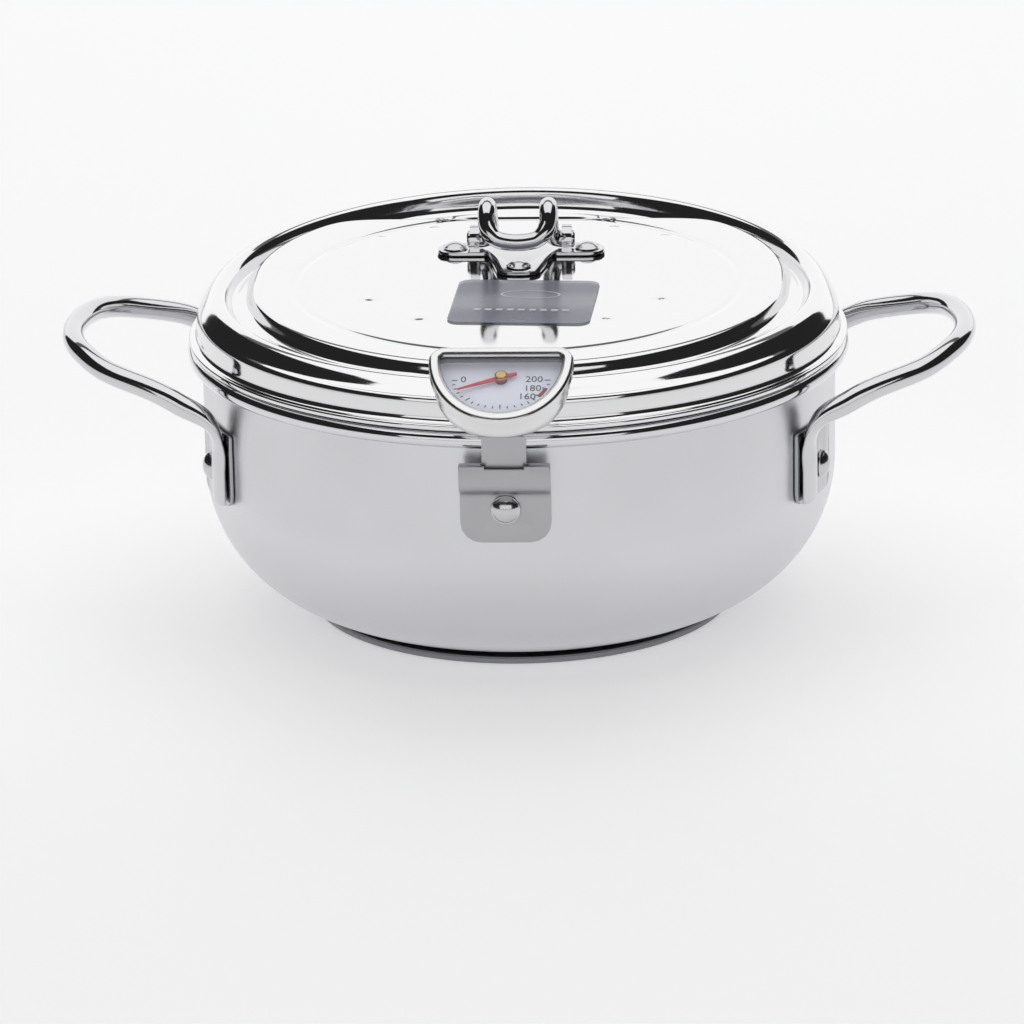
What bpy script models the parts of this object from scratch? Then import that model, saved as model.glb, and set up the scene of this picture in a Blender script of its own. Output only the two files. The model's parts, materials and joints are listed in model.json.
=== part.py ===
"""Stovetop deep-frying pot with a drain lid and a lift-out oil thermometer.

A round-bottomed steel bowl carries two wire side handles and, at the front, a riveted holder.
The lid rests on the rolled rim and has a folding wire hook on top. The thermometer hangs in the
holder by a strip and reads through a D-shaped window; its pointer turns on a bimetal coil.

Units are metres, +Z is up, the front faces -Y and the side handles point along X. The origin is
the centre of the underside of the base. Lengths on a face are measured on that face's own frame.
"""

import math

import bmesh
import bpy
from mathutils import Matrix, Vector

MM = 0.001
GAP = 0.3 * MM                      # space between pieces that touch
RUNNING_CLEARANCE = 0.08 * MM       # radial space between a shaft and its bush
ROUND_SEGMENTS = 48                 # facets around the bowl and the lid
RIVET_SEGMENTS = 14
WELD = 0.001 * MM                   # distance under which coincident points are one point
SHARP_ANGLE = math.radians(38.0)

# Bowl
POT_RADIUS = 101.5 * MM             # outside of the upright wall
POT_WALL = 0.8 * MM
RIM_HEIGHT = 85.7 * MM              # centre of the rolled rim
RIM_BEAD = 2.6 * MM                 # section radius of the rolled rim
CORNER_RADIUS = RIM_HEIGHT - 39.7 * MM  # outside curve between floor and wall
BASE_RADIUS = 68.0 * MM
BASE_THICKNESS = 2.2 * MM
BASE_CHAMFER = 0.6 * MM

# Rivets in the bowl wall and in the lid
RIVET_HEAD = 4.5 * MM
RIVET_DOME = 2.3 * MM
RIVET_SHANK = 2.0 * MM
RIVET_TAIL = 3.6 * MM               # radius of the flat inner head
RIVET_TAIL_THICKNESS = 1.0 * MM

# Side handles
ROD_RADIUS = 3.5 * MM
LEG_SPREAD = 47.0 * MM              # distance of each leg from the handle's middle
LEG_FOOT = RIM_HEIGHT - 38.7 * MM   # height of the leg's lower end
LEG_HALF_WIDTH = 4.4 * MM           # the flattened end
LEG_HALF_THICKNESS = 1.4 * MM
LEG_TAPER = (RIM_HEIGHT - 18.7 * MM, RIM_HEIGHT - 6.7 * MM)  # where the rod becomes flat
# Steps of the rod from the leg: outward, towards the handle's middle, and up from the rim's centre
LEG_STEPS = ((0.0, 0.0, -28.0 * MM), (0.0, 0.0, -19.0 * MM), (3.2 * MM, -0.2 * MM, -11.5 * MM))
# Steps of the loop from its tip: outward, from the leg towards the middle, and up
LOOP_STEPS = ((-38.0 * MM, -1.8 * MM, -11.6 * MM), (-29.3 * MM, -4.4 * MM, -7.6 * MM),
              (-14.2 * MM, -11.5 * MM, -3.5 * MM), (-6.0 * MM, -21.5 * MM, -0.9 * MM),
              (-1.6 * MM, -33.0 * MM, -0.1 * MM))
HANDLE_REACH = 37.1 * MM            # from the rim's outside to the middle of the rod's tip
HANDLE_RISE = 4.8 * MM              # height of the tip over the rim's centre
PLATE_THICKNESS = 1.0 * MM
PLATE_LOW = RIM_HEIGHT - 39.7 * MM
PLATE_HIGH = RIM_HEIGHT - 15.7 * MM
PLATE_OUTER_MARGIN = 5.2 * MM       # plate beyond the leg's middle, away from the handle's middle
PLATE_INNER_MARGIN = 21.4 * MM      # plate beyond the leg's middle, towards the handle's middle
PLATE_RIVET_OFFSET = 13.6 * MM      # rivet from the leg's middle
PLATE_RIVET_HEIGHT = RIM_HEIGHT - 30.7 * MM
PLATE_CORNER = 4.0 * MM

# Thermometer strip and its holder
TAB_WIDTH = 13.7 * MM
TAB_THICKNESS = 0.8 * MM
TAB_CLEARANCE = 0.8 * MM            # strip to the outside of the rolled rim
TAB_BEND = 2.0 * MM
HOLDER_WIDTH = 28.0 * MM
HOLDER_THICKNESS = 1.2 * MM
HOLDER_LOW = RIM_HEIGHT - 33.2 * MM
HOLDER_HIGH = RIM_HEIGHT - 6.7 * MM
HOLDER_CORNER = 6.5 * MM
HOLDER_RIVET_HEIGHT = RIM_HEIGHT - 22.5 * MM
HOLDER_JOGGLE = RIM_HEIGHT - 17.5 * MM  # height where the plate starts to step forward
HOLDER_JOGGLE_RISE = 3.2 * MM
POCKET_DEPTH = 7.0 * MM
NOTCH_DEPTH = 1.0 * MM
NOTCH_WIDTH = 12.0 * MM

# Thermometer head, measured on its tilted face around the pointer's pivot
FACE_TILT = math.radians(26.0)
FACE_HALF_WIDTH = 22.0 * MM
FACE_REAR = 10.0 * MM               # pivot to the straight rear edge
FACE_CORNER = 5.0 * MM
FACE_STRETCH = 1.25                 # length of the round front against its half width
FACE_ARC_STEPS = 18
FACE_CORNER_STEPS = 3
FACE_REAR_STEPS = 6
CASE_BOTTOM_RISE = 8.8 * MM         # case bottom over the rim's centre
FACE_PIVOT_RISE = 17.6 * MM         # pivot over the case bottom
FACE_PIVOT_FORWARD = 10.5 * MM      # pivot in front of the strip
CASE_WALL = 0.7 * MM
CASE_BOTTOM_SCALE = (0.42, 0.52)    # case bottom against the face outline, across and along
CASE_BOTTOM_THICKNESS = 0.8 * MM
BEZEL_WALL = 0.8 * MM
BEZEL_WIDTH = 4.0 * MM
BEZEL_TOP = 1.2 * MM
BEZEL_SKIRT = 2.6 * MM
LENS_THICKNESS = 1.2 * MM
LENS_DOME = 0.6 * MM
GASKET_THICKNESS = 0.6 * MM
GASKET_WIDTH = 1.3 * MM
POINTER_ROOM = 2.0 * MM             # between gasket and dial
DIAL_THICKNESS = 0.6 * MM
SHELF_WIDTH = 1.4 * MM              # ledge that carries the dial plate
TAB_RIVET_SHANK = 1.1 * MM
TAB_RIVET_HEAD = 2.2 * MM
TAB_RIVET_THICKNESS = 0.8 * MM
TAB_RIVET_SPREAD = 3.3 * MM
TAB_RIVET_FORWARD = 1.6 * MM        # in front of the case bottom's middle

# Pointer and bimetal coil
POINTER_REST = math.radians(200.7)  # direction on the face at room temperature
POINTER_LENGTH = 14.0 * MM
POINTER_TAIL = 5.0 * MM
POINTER_THICKNESS = 0.5 * MM
POINTER_WIDTH = 1.6 * MM
POINTER_BOSS = 1.9 * MM
HUB_RADIUS = 2.0 * MM
HUB_HEIGHT = 0.9 * MM
SHAFT_RADIUS = 0.8 * MM
BUSH_RADIUS = 1.6 * MM
BUSH_FLANGE = 2.6 * MM
BUSH_FLANGE_THICKNESS = 0.7 * MM
COIL_INNER = 1.9 * MM
COIL_PITCH = 0.85 * MM
COIL_TURNS = 3
COIL_STRIP = 0.35 * MM
COIL_HEIGHT = 2.5 * MM
ANCHOR_THICKNESS = 1.0 * MM
ANCHOR_WIDTH = 2.0 * MM

# Lid
LID_SHEET = 0.7 * MM
HEM_INSET = 0.4 * MM                # hem inside the outside of the rolled rim
LIP_CLEARANCE = 0.5 * MM            # locating lip to the bowl's inside
LIP_DEPTH = 3.0 * MM
LIP_WALL = 0.8 * MM
CREST_INSET = 10.5 * MM             # hem to the highest line of the shoulder
CREST_RISE = 16.6 * MM              # crest over the seat at mid lid
CREST_SLOPE = 0.04                  # the crest climbs towards the rear
CREST_BOW = 1.2 * MM                # and its front and rear lie this much over the straight slope
PLATEAU_INSET = 10.0 * MM           # crest to the edge of the raised middle
PLATEAU_RISE = 17.0 * MM
PLATEAU_SLOPE = 0.019
PLATEAU_REAR_SHIFT = 11.0 * MM      # the rear round of the middle is this much further back
PLATEAU_CHORD_INSET = 15.0 * MM     # straight rear edge inside the half width
CHORD_SHARPNESS = 26.0
GROOVE_DEPTH = 4.6 * MM
GROOVE_OUTER_INSET = 3.6 * MM       # groove's outer side inside the crest
EDGE_FLAT = 2.2 * MM                # where the middle starts to round off, inside its edge
# From the middle's edge: outward, and share of the groove's depth
EDGE_STEPS = ((-0.5 * MM, 0.174), (0.6 * MM, 0.75), (2.0 * MM, 1.0))
# From the crest: outward, and up
CREST_STEPS = ((-1.8 * MM, -1.2 * MM), (0.0, 0.0), (2.6 * MM, -0.7 * MM), (5.8 * MM, -4.0 * MM))
SHOULDER_INSET = 2.6 * MM           # steep side inside the hem's outside
SHOULDER_SHARE = 0.45               # its height between seat and crest
# From the hem's outside: outward, and up from the seat
HEM_STEPS = ((-2.0 * MM, 4.2 * MM), (-1.2 * MM, 2.5 * MM), (0.0, 1.6 * MM), (0.0, 0.8 * MM),
             (-0.8 * MM, 0.0))

# Lid handle, bracket and label, measured on the lid's sloped top
WIRE_RADIUS = 2.8 * MM
BRACKET_THICKNESS = 1.2 * MM
BRACKET_HALF_LENGTH = 27.0 * MM
BRACKET_AXIS_BACK = 31.0 * MM       # hinge axis behind the lid's middle
BRACKET_EAR_HALF = 5.5 * MM
BRACKET_EAR_RIVET = 21.5 * MM
BRACKET_NECK = 11.0 * MM
BRACKET_NOSE = 6.2 * MM
BRACKET_NOSE_FRONT = 4.4 * MM
KNUCKLE_WIDTH = 3.2 * MM
KNUCKLE_WALL = 1.6 * MM
KNUCKLE_INNER = 13.3 * MM           # knuckle's inner side from the middle
LID_RIVET_HEAD = 4.0 * MM
LID_RIVET_DOME = 1.8 * MM
LID_RIVET_SHANK = 1.6 * MM
HOOK_SIDE_GAP = 0.7 * MM            # space between a leg of the wire and its knuckle
HOOK_HALF_WIDTH = KNUCKLE_INNER - HOOK_SIDE_GAP - WIRE_RADIUS
HOOK_TOP = (-18.0 * MM, 16.6 * MM)  # highest point from the hinge axis: along Y, up
HOOK_END = (-28.0 * MM, 7.4 * MM)   # closed end from the hinge axis
# Wire beside the knuckle, from the leg: sideways, along and up from the hinge
HOOK_LEG_STEPS = ((1.2 * MM, -0.5 * MM, 0.6 * MM), (0.0, -3.0 * MM, 3.6 * MM))
HOOK_ARCH_DROP = 0.8 * MM           # arch between its top and its end
HOOK_END_RISE = 2.2 * MM            # how far back the falling side stands from the end
HOOK_CLEARANCE = 0.15 * MM          # radial space between the wire and its knuckles
HOOK_CORNER = (1.6 * MM, 0.5 * MM, 1.0 * MM)  # corner of the closed end: in, back and up
LABEL_SIZE = (45.0 * MM, 44.0 * MM)
LABEL_CENTRE = (3.0 * MM, -22.5 * MM)
LABEL_SKEW = math.radians(-3.0)
LABEL_CORNER = 4.0 * MM
LABEL_THICKNESS = 0.2 * MM

# Places that follow from the sizes above
FLOOR_HEIGHT = BASE_THICKNESS + GAP
POT_INNER = POT_RADIUS - POT_WALL
RIM_CENTRE = POT_INNER + RIM_BEAD
RIM_OUTER = RIM_CENTRE + RIM_BEAD
SEAT_HEIGHT = RIM_HEIGHT + RIM_BEAD + GAP
PLATE_INNER_FACE = POT_RADIUS + GAP
PLATE_OUTER_FACE = PLATE_INNER_FACE + PLATE_THICKNESS
LEG_RADIUS = PLATE_OUTER_FACE + GAP + LEG_HALF_THICKNESS
LEG_ANGLE = math.asin(LEG_SPREAD / LEG_RADIUS)
TAB_INNER = RIM_OUTER + TAB_CLEARANCE
TAB_OUTER = TAB_INNER + TAB_THICKNESS
CASE_BOTTOM = RIM_HEIGHT + CASE_BOTTOM_RISE
FACE_PIVOT = Vector((0.0, -(TAB_INNER + FACE_PIVOT_FORWARD), CASE_BOTTOM + FACE_PIVOT_RISE))
CASE_INSET = BEZEL_WALL + GAP
INNER_INSET = CASE_INSET + CASE_WALL
FILLING_INSET = INNER_INSET + GAP
LENS_TOP = -GAP
LENS_BOTTOM = LENS_TOP - LENS_THICKNESS
GASKET_TOP = LENS_BOTTOM - GAP
GASKET_BOTTOM = GASKET_TOP - GASKET_THICKNESS
DIAL_TOP = GASKET_BOTTOM - POINTER_ROOM
DIAL_BOTTOM = DIAL_TOP - DIAL_THICKNESS
SHELF = DIAL_BOTTOM - GAP
BUSH_TOP = DIAL_TOP + GAP
BUSH_BOTTOM = SHELF - BUSH_FLANGE_THICKNESS
COIL_TOP = BUSH_BOTTOM - GAP
COIL_BOTTOM = COIL_TOP - COIL_HEIGHT
SHAFT_TOP = BUSH_TOP + GAP
POINTER_BOTTOM = SHAFT_TOP + GAP
POINTER_TOP = POINTER_BOTTOM + POINTER_THICKNESS
HEM_RADIUS = RIM_OUTER - HEM_INSET
LIP_RADIUS = POT_INNER - LIP_CLEARANCE
CREST_RADIUS = HEM_RADIUS - CREST_INSET
PLATEAU_RADIUS = CREST_RADIUS - PLATEAU_INSET
PLATEAU_HEIGHT = SEAT_HEIGHT + PLATEAU_RISE
LID_TILT = math.atan(PLATEAU_SLOPE)
BRACKET_TOP = GAP + BRACKET_THICKNESS
HINGE_RISE = BRACKET_TOP + GAP + WIRE_RADIUS
KNUCKLE_OUTER = KNUCKLE_INNER + KNUCKLE_WIDTH

# Finishes: colour, metallic value, roughness
POLISHED_STEEL = ((0.82, 0.82, 0.83), 1.0, 0.08)
SATIN_STEEL = ((0.72, 0.72, 0.74), 1.0, 0.35)
DARK_STEEL = ((0.42, 0.42, 0.43), 1.0, 0.30)
CLEAR_GLASS = ((0.90, 0.92, 0.94), 0.0, 0.03)
BLACK_RUBBER = ((0.03, 0.03, 0.03), 0.0, 0.70)
DIAL_WHITE = ((0.86, 0.86, 0.93), 0.0, 0.45)
BRASS = ((0.78, 0.55, 0.25), 1.0, 0.25)
BIMETAL = ((0.55, 0.45, 0.38), 1.0, 0.40)
POINTER_RED = ((0.72, 0.05, 0.05), 0.0, 0.40)
LABEL_FILM = ((0.52, 0.54, 0.60), 0.0, 0.30)


# --------------------------------------------------------------------------- scene helpers

def clear_scene():
    """Remove every object that is already in the scene."""
    for obj in list(bpy.data.objects):
        bpy.data.objects.remove(obj, do_unlink=True)


def make_material(name, finish):
    """Principled material with the colour, metallic value and roughness of a finish."""
    colour, metallic, roughness = finish
    made = bpy.data.materials.new(name)
    made.use_nodes = True
    shader = made.node_tree.nodes["Principled BSDF"]
    shader.inputs["Base Color"].default_value = (*colour, 1.0)
    shader.inputs["Metallic"].default_value = metallic
    shader.inputs["Roughness"].default_value = roughness
    return made


def add_empty(name, location, parent=None, tilt=0.0):
    """Empty that carries a moving group; tilt turns it about X."""
    empty = bpy.data.objects.new(name, None)
    empty.location = location
    empty.rotation_euler = (tilt, 0.0, 0.0)
    empty.parent = parent
    bpy.context.scene.collection.objects.link(empty)
    return empty


def add_object(name, bm, finish, parent=None, place=None):
    """Turn a bmesh into a named, smooth-shaded object with outward faces."""
    bmesh.ops.recalc_face_normals(bm, faces=bm.faces)
    if bm.calc_volume(signed=True) < 0.0:
        bmesh.ops.reverse_faces(bm, faces=bm.faces)
    mesh = bpy.data.meshes.new(name)
    bm.to_mesh(mesh)
    bm.free()
    mesh.shade_smooth()
    mesh.set_sharp_from_angle(angle=SHARP_ANGLE)
    if finish is not None:
        mesh.materials.append(make_material(name + "_finish", finish))
    obj = bpy.data.objects.new(name, mesh)
    if place is not None:
        obj.matrix_local = place
    obj.parent = parent
    bpy.context.scene.collection.objects.link(obj)
    return obj


def add_tool_object(name, bm, parent=None):
    """Object that only shapes others: hidden from renders and drawn as wire."""
    tool = add_object(name, bm, None, parent)
    tool.hide_render = True
    tool.display_type = "WIRE"
    return tool


def combine(target, tool, operation):
    """Boolean of target with tool, which stays in the file as a guide."""
    modifier = target.modifiers.new(tool.name, "BOOLEAN")
    modifier.operation = operation
    modifier.object = tool
    modifier.solver = "EXACT"


# --------------------------------------------------------------------------- shape helpers

def bridge(bm, low, high):
    """Faces between two rings of vertices; a ring of one vertex is a pole."""
    count = max(len(low), len(high))
    for i in range(count):
        j = (i + 1) % count
        corners = [low[i % len(low)], low[j % len(low)], high[j % len(high)], high[i % len(high)]]
        unique = list(dict.fromkeys(corners))
        bm.faces.new(unique)


def skinned(rings, wrap=False):
    """Closed surface through successive rings of points, capped at both ends unless it wraps."""
    bm = bmesh.new()
    loops = [[bm.verts.new(point) for point in ring] for ring in rings]
    for low, high in zip(loops, loops[1:]):
        bridge(bm, low, high)
    if wrap:
        bridge(bm, loops[-1], loops[0])
        return bm
    for loop in (loops[0], loops[-1]):
        if len(loop) > 2:
            bm.faces.new(loop)
    return bm


def turned(outline, closed=False, segments=ROUND_SEGMENTS):
    """Spin an outline of (radius, height) points about Z."""
    bm = bmesh.new()
    verts = [bm.verts.new((radius, 0.0, height)) for radius, height in outline]
    followers = verts[1:] + (verts[:1] if closed else [])
    edges = [bm.edges.new(pair) for pair in zip(verts, followers)]
    bmesh.ops.spin(bm, geom=verts + edges, axis=(0, 0, 1), cent=(0, 0, 0),
                   angle=math.tau, steps=segments, use_merge=True)
    bmesh.ops.remove_doubles(bm, verts=bm.verts, dist=WELD)
    return bm


def extruded(outline, depth, base=0.0):
    """Prism over an outline in XY, from height base up by depth."""
    bm = bmesh.new()
    face = bm.faces.new([bm.verts.new((x, y, base)) for x, y in outline])
    grown = bmesh.ops.extrude_face_region(bm, geom=[face])
    top = [item for item in grown["geom"] if isinstance(item, bmesh.types.BMVert)]
    bmesh.ops.translate(bm, verts=top, vec=(0.0, 0.0, depth))
    return bm


def across(outline, half_width):
    """Prism over an outline of (forward, up) points, spanning X from -half_width to half_width."""
    bm = extruded(outline, 2.0 * half_width, -half_width)
    turn = Matrix(((0, 0, 1, 0), (-1, 0, 0, 0), (0, 1, 0, 0), (0, 0, 0, 1)))
    bmesh.ops.transform(bm, matrix=turn, verts=bm.verts)
    return bm


def rod(radius, length, segments=RIVET_SEGMENTS):
    """Solid rod along Z, centred on the origin."""
    half = 0.5 * length
    return turned([(0.0, -half), (radius, -half), (radius, half), (0.0, half)], segments=segments)


def merged(pieces):
    """One bmesh that holds several, each moved by its matrix."""
    whole = bmesh.new()
    for bm, place in pieces:
        bmesh.ops.transform(bm, matrix=place, verts=bm.verts)
        mesh = bpy.data.meshes.new("piece")
        bm.to_mesh(mesh)
        bm.free()
        whole.from_mesh(mesh)
        bpy.data.meshes.remove(mesh)
    return whole


def arc(centre, radius, start, end, steps):
    """Points on a circular arc, both ends included; angles in radians."""
    angles = [start + (end - start) * k / steps for k in range(steps + 1)]
    return [(centre[0] + radius * math.cos(a), centre[1] + radius * math.sin(a)) for a in angles]


def rounded(corners, steps=4):
    """Outline through (x, y, radius) corners, each rounded by its own radius."""
    outline = []
    count = len(corners)
    for i, (x, y, radius) in enumerate(corners):
        here = Vector((x, y))
        before = (Vector(corners[i - 1][:2]) - here).normalized()
        after = (Vector(corners[(i + 1) % count][:2]) - here).normalized()
        if radius <= 0.0:
            outline.append((x, y))
            continue
        half = 0.5 * before.angle(after)
        centre = here + (before + after).normalized() * (radius / math.sin(half))
        first = here + before * (radius / math.tan(half)) - centre
        last = here + after * (radius / math.tan(half)) - centre
        turn = math.atan2(first.cross(last), first.dot(last))
        start = math.atan2(first.y, first.x)
        outline += arc(centre, radius, start, start + turn, steps)
    return outline


def strip_outline(path, thickness):
    """Outline of a bent strip whose middle line is path."""
    near, far = [], []
    for i, point in enumerate(path):
        here = Vector(point)
        run = Vector(path[min(i + 1, len(path) - 1)]) - Vector(path[max(i - 1, 0)])
        side = Vector((-run.y, run.x)).normalized() * (0.5 * thickness)
        near.append(tuple(here + side))
        far.append(tuple(here - side))
    return near + far[::-1]


def smooth_path(points, samples):
    """Catmull-Rom curve through points, with samples steps between neighbours."""
    points = [Vector(p) for p in points]
    padded = [2 * points[0] - points[1]] + points + [2 * points[-1] - points[-2]]
    path = []
    for a, b, c, d in zip(padded, padded[1:], padded[2:], padded[3:]):
        for k in range(samples):
            t = k / samples
            path.append(0.5 * (2 * b + (c - a) * t + (2 * a - 5 * b + 4 * c - d) * t * t
                               + (3 * b - a - 3 * c + d) * t ** 3))
    path.append(points[-1])
    return path


def swept(path, section, reference, sides=10):
    """Tube along path. section(point) gives its two half sizes, reference(point) the first's way."""
    rings = []
    for i, point in enumerate(path):
        tangent = (path[min(i + 1, len(path) - 1)] - path[max(i - 1, 0)]).normalized()
        first = reference(point)
        first = (first - tangent * first.dot(tangent)).normalized()
        second = tangent.cross(first)
        size_first, size_second = section(point)
        ring = []
        for k in range(sides):
            a = math.tau * (k + 0.5) / sides
            ring.append(point + first * (size_first * math.cos(a)) + second * (size_second * math.sin(a)))
        rings.append(ring)
    return skinned(rings)


def smoothstep(low, high, value):
    """0 below low, 1 above high and smooth between."""
    t = min(max((value - low) / (high - low), 0.0), 1.0)
    return t * t * (3.0 - 2.0 * t)


def outward_place(angle, radius, height):
    """Frame on the bowl's wall: its Z points outward and its Y points up."""
    out = Vector((math.cos(angle), math.sin(angle), 0.0))
    along = Vector((0.0, 0.0, 1.0)).cross(out)
    rows = (along, Vector((0.0, 0.0, 1.0)), out)
    place = Matrix(rows).transposed().to_4x4()
    place.translation = out * radius + Vector((0.0, 0.0, height))
    return place


def rivet(head, dome, shank, grip, tail, tail_thickness):
    """Rivet along Z: the domed head's underside is at 0 and the flat tail starts at -grip."""
    ball = (head * head + dome * dome) / (2.0 * dome)
    outline = [(0.0, -grip - tail_thickness), (tail, -grip - tail_thickness), (tail, -grip),
               (shank, -grip), (shank, 0.0), (head, 0.0)]
    start = math.asin((ball - dome) / ball)
    outline += arc((0.0, dome - ball), ball, start, 0.5 * math.pi, 3)[1:-1]
    outline.append((0.0, dome))
    return turned(outline, segments=RIVET_SEGMENTS)


def wall_rivet_grip(outer_face):
    """Length between the heads of a rivet through the wall and a plate of this outer face."""
    facet = POT_INNER * math.cos(math.pi / ROUND_SEGMENTS)
    bulge = RIVET_TAIL ** 2 / (2.0 * POT_INNER)
    return outer_face + GAP - (facet - bulge - GAP)


# --------------------------------------------------------------------------- bowl

def pot_outline():
    """Closed section of the bowl: outside from the axis, over the rolled rim, then inside back."""
    corner = (POT_RADIUS - CORNER_RADIUS, FLOOR_HEIGHT + CORNER_RADIUS)
    meet = math.acos((POT_RADIUS - RIM_CENTRE) / RIM_BEAD)
    outline = [(0.0, FLOOR_HEIGHT)]
    outline += arc(corner, CORNER_RADIUS, -0.5 * math.pi, 0.0, 8)
    outline += arc((RIM_CENTRE, RIM_HEIGHT), RIM_BEAD, -meet, math.pi, 9)
    outline += arc(corner, CORNER_RADIUS - POT_WALL, 0.0, -0.5 * math.pi, 8)
    outline.append((0.0, FLOOR_HEIGHT + POT_WALL))
    return outline


def plate_rivet_places():
    """Side name, fore-aft name and wall angle of each handle rivet."""
    inner = LEG_ANGLE - PLATE_RIVET_OFFSET / PLATE_OUTER_FACE
    return [("right", "front", -inner), ("right", "rear", inner),
            ("left", "front", math.pi + inner), ("left", "rear", math.pi - inner)]


def wall_holes():
    """Rods that cut the rivet holes in the wall, the handle plates and the holder."""
    hole_radius = RIVET_SHANK + GAP
    length = 4.0 * (RIVET_DOME + POT_WALL + PLATE_THICKNESS)
    places = [outward_place(angle, POT_RADIUS, PLATE_RIVET_HEIGHT)
              for _, _, angle in plate_rivet_places()]
    places.append(outward_place(-0.5 * math.pi, POT_RADIUS, HOLDER_RIVET_HEIGHT))
    pieces = [(rod(hole_radius, length), place) for place in places]
    return add_tool_object("wall_rivet_holes", merged(pieces))


def build_bowl(holes):
    """The bowl and the heat-spreading disc under it."""
    shell = add_object("pot_shell", turned(pot_outline()), SATIN_STEEL)
    combine(shell, holes, "DIFFERENCE")
    disc = [(0.0, 0.0), (BASE_RADIUS - BASE_CHAMFER, 0.0), (BASE_RADIUS, BASE_CHAMFER),
            (BASE_RADIUS, BASE_THICKNESS - BASE_CHAMFER),
            (BASE_RADIUS - BASE_CHAMFER, BASE_THICKNESS), (0.0, BASE_THICKNESS)]
    add_object("base_disc", turned(disc), DARK_STEEL)


def handle_path():
    """Middle line of the right handle's rod, from its front foot round to its rear foot."""
    foot = Vector((LEG_RADIUS * math.cos(LEG_ANGLE), LEG_SPREAD, 0.0))
    tip = RIM_OUTER + HANDLE_REACH
    top = RIM_HEIGHT + HANDLE_RISE
    half = [(foot.x, foot.y, LEG_FOOT)]
    half += [(foot.x + out, foot.y + along, RIM_HEIGHT + up) for out, along, up in LEG_STEPS]
    half += [(tip + out, foot.y + along, top + up) for out, along, up in LOOP_STEPS]
    front = [(x, -y, z) for x, y, z in half]
    return smooth_path(front + [(tip, 0.0, top)] + half[::-1], 3)


def leg_section(point):
    """Half thickness and half width of the rod: flat on the wall, round above."""
    blend = smoothstep(LEG_TAPER[0], LEG_TAPER[1], point.z)
    thick = LEG_HALF_THICKNESS + (ROD_RADIUS - LEG_HALF_THICKNESS) * blend
    wide = LEG_HALF_WIDTH + (ROD_RADIUS - LEG_HALF_WIDTH) * blend
    return thick, wide


def away_from_bowl(point):
    """Direction of the rod's flat side: outward on the legs and down on the loop."""
    return Vector((point.x, point.y, 0.0)).normalized() - Vector((0.0, 0.0, 1.0))


def handle_plate(angle, inward):
    """Curved plate under one leg; inward is +1 or -1, the way to the handle's middle."""
    near = -PLATE_OUTER_MARGIN * inward
    far = PLATE_INNER_MARGIN * inward
    low, high = min(near, far), max(near, far)
    outline = rounded([(low, PLATE_LOW, PLATE_CORNER), (high, PLATE_LOW, PLATE_CORNER),
                       (high, PLATE_HIGH, 1.0 * MM), (low, PLATE_HIGH, 1.0 * MM)], 3)
    bm = extruded(outline, PLATE_THICKNESS)
    strips = 5
    for k in range(1, strips):
        cut = low + (high - low) * k / strips
        bmesh.ops.bisect_plane(bm, geom=bm.verts[:] + bm.edges[:] + bm.faces[:],
                               plane_co=(cut, 0.0, 0.0), plane_no=(1.0, 0.0, 0.0))
    for vert in bm.verts:
        along, up, out = vert.co
        turn = angle + along / PLATE_INNER_FACE
        radius = PLATE_INNER_FACE + out
        vert.co = (radius * math.cos(turn), radius * math.sin(turn), up)
    return bm


def build_side_handles(holes):
    """Both wire handles, each with two plates riveted to the wall."""
    half_turn = Matrix.Rotation(math.pi, 4, "Z")
    for side, place in (("right", Matrix.Identity(4)), ("left", half_turn)):
        bm = swept(handle_path(), leg_section, away_from_bowl)
        bmesh.ops.transform(bm, matrix=place, verts=bm.verts)
        add_object("side_handle_" + side, bm, POLISHED_STEEL)
    grip = wall_rivet_grip(PLATE_OUTER_FACE)
    middle = {"right": 0.0, "left": math.pi}
    for side, end, angle in plate_rivet_places():
        inward = 1.0 if angle < middle[side] else -1.0
        leg = middle[side] - inward * LEG_ANGLE
        plate = add_object(f"handle_plate_{side}_{end}", handle_plate(leg, inward), POLISHED_STEEL)
        combine(plate, holes, "DIFFERENCE")
        pin = rivet(RIVET_HEAD, RIVET_DOME, RIVET_SHANK, grip, RIVET_TAIL, RIVET_TAIL_THICKNESS)
        add_object(f"handle_rivet_{side}_{end}", pin, POLISHED_STEEL,
                   place=outward_place(angle, PLATE_OUTER_FACE + GAP, PLATE_RIVET_HEIGHT))


# --------------------------------------------------------------------------- thermometer holder

def holder_outline():
    """Side view of the holder as (forward, up): flat on the wall, then stepped out to a pocket."""
    wall_face = POT_RADIUS + GAP
    front = wall_face + HOLDER_THICKNESS
    pocket_back = TAB_INNER - GAP - HOLDER_THICKNESS
    pocket_front = TAB_OUTER + GAP + HOLDER_THICKNESS
    step = HOLDER_JOGGLE + HOLDER_JOGGLE_RISE
    return [(wall_face, HOLDER_LOW), (front, HOLDER_LOW), (front, HOLDER_JOGGLE),
            (pocket_front, step), (pocket_front, HOLDER_HIGH), (pocket_back, HOLDER_HIGH),
            (pocket_back, step + HOLDER_THICKNESS), (wall_face, HOLDER_JOGGLE + HOLDER_THICKNESS)]


def pocket_cutter():
    """Box that cuts the strip's pocket."""
    lift = 5.0 * MM
    slot = [(TAB_INNER - GAP, HOLDER_HIGH - POCKET_DEPTH), (TAB_OUTER + GAP, HOLDER_HIGH - POCKET_DEPTH),
            (TAB_OUTER + GAP, HOLDER_HIGH + lift), (TAB_INNER - GAP, HOLDER_HIGH + lift)]
    return add_tool_object("holder_pocket", across(slot, 0.5 * TAB_WIDTH + GAP))


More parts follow.
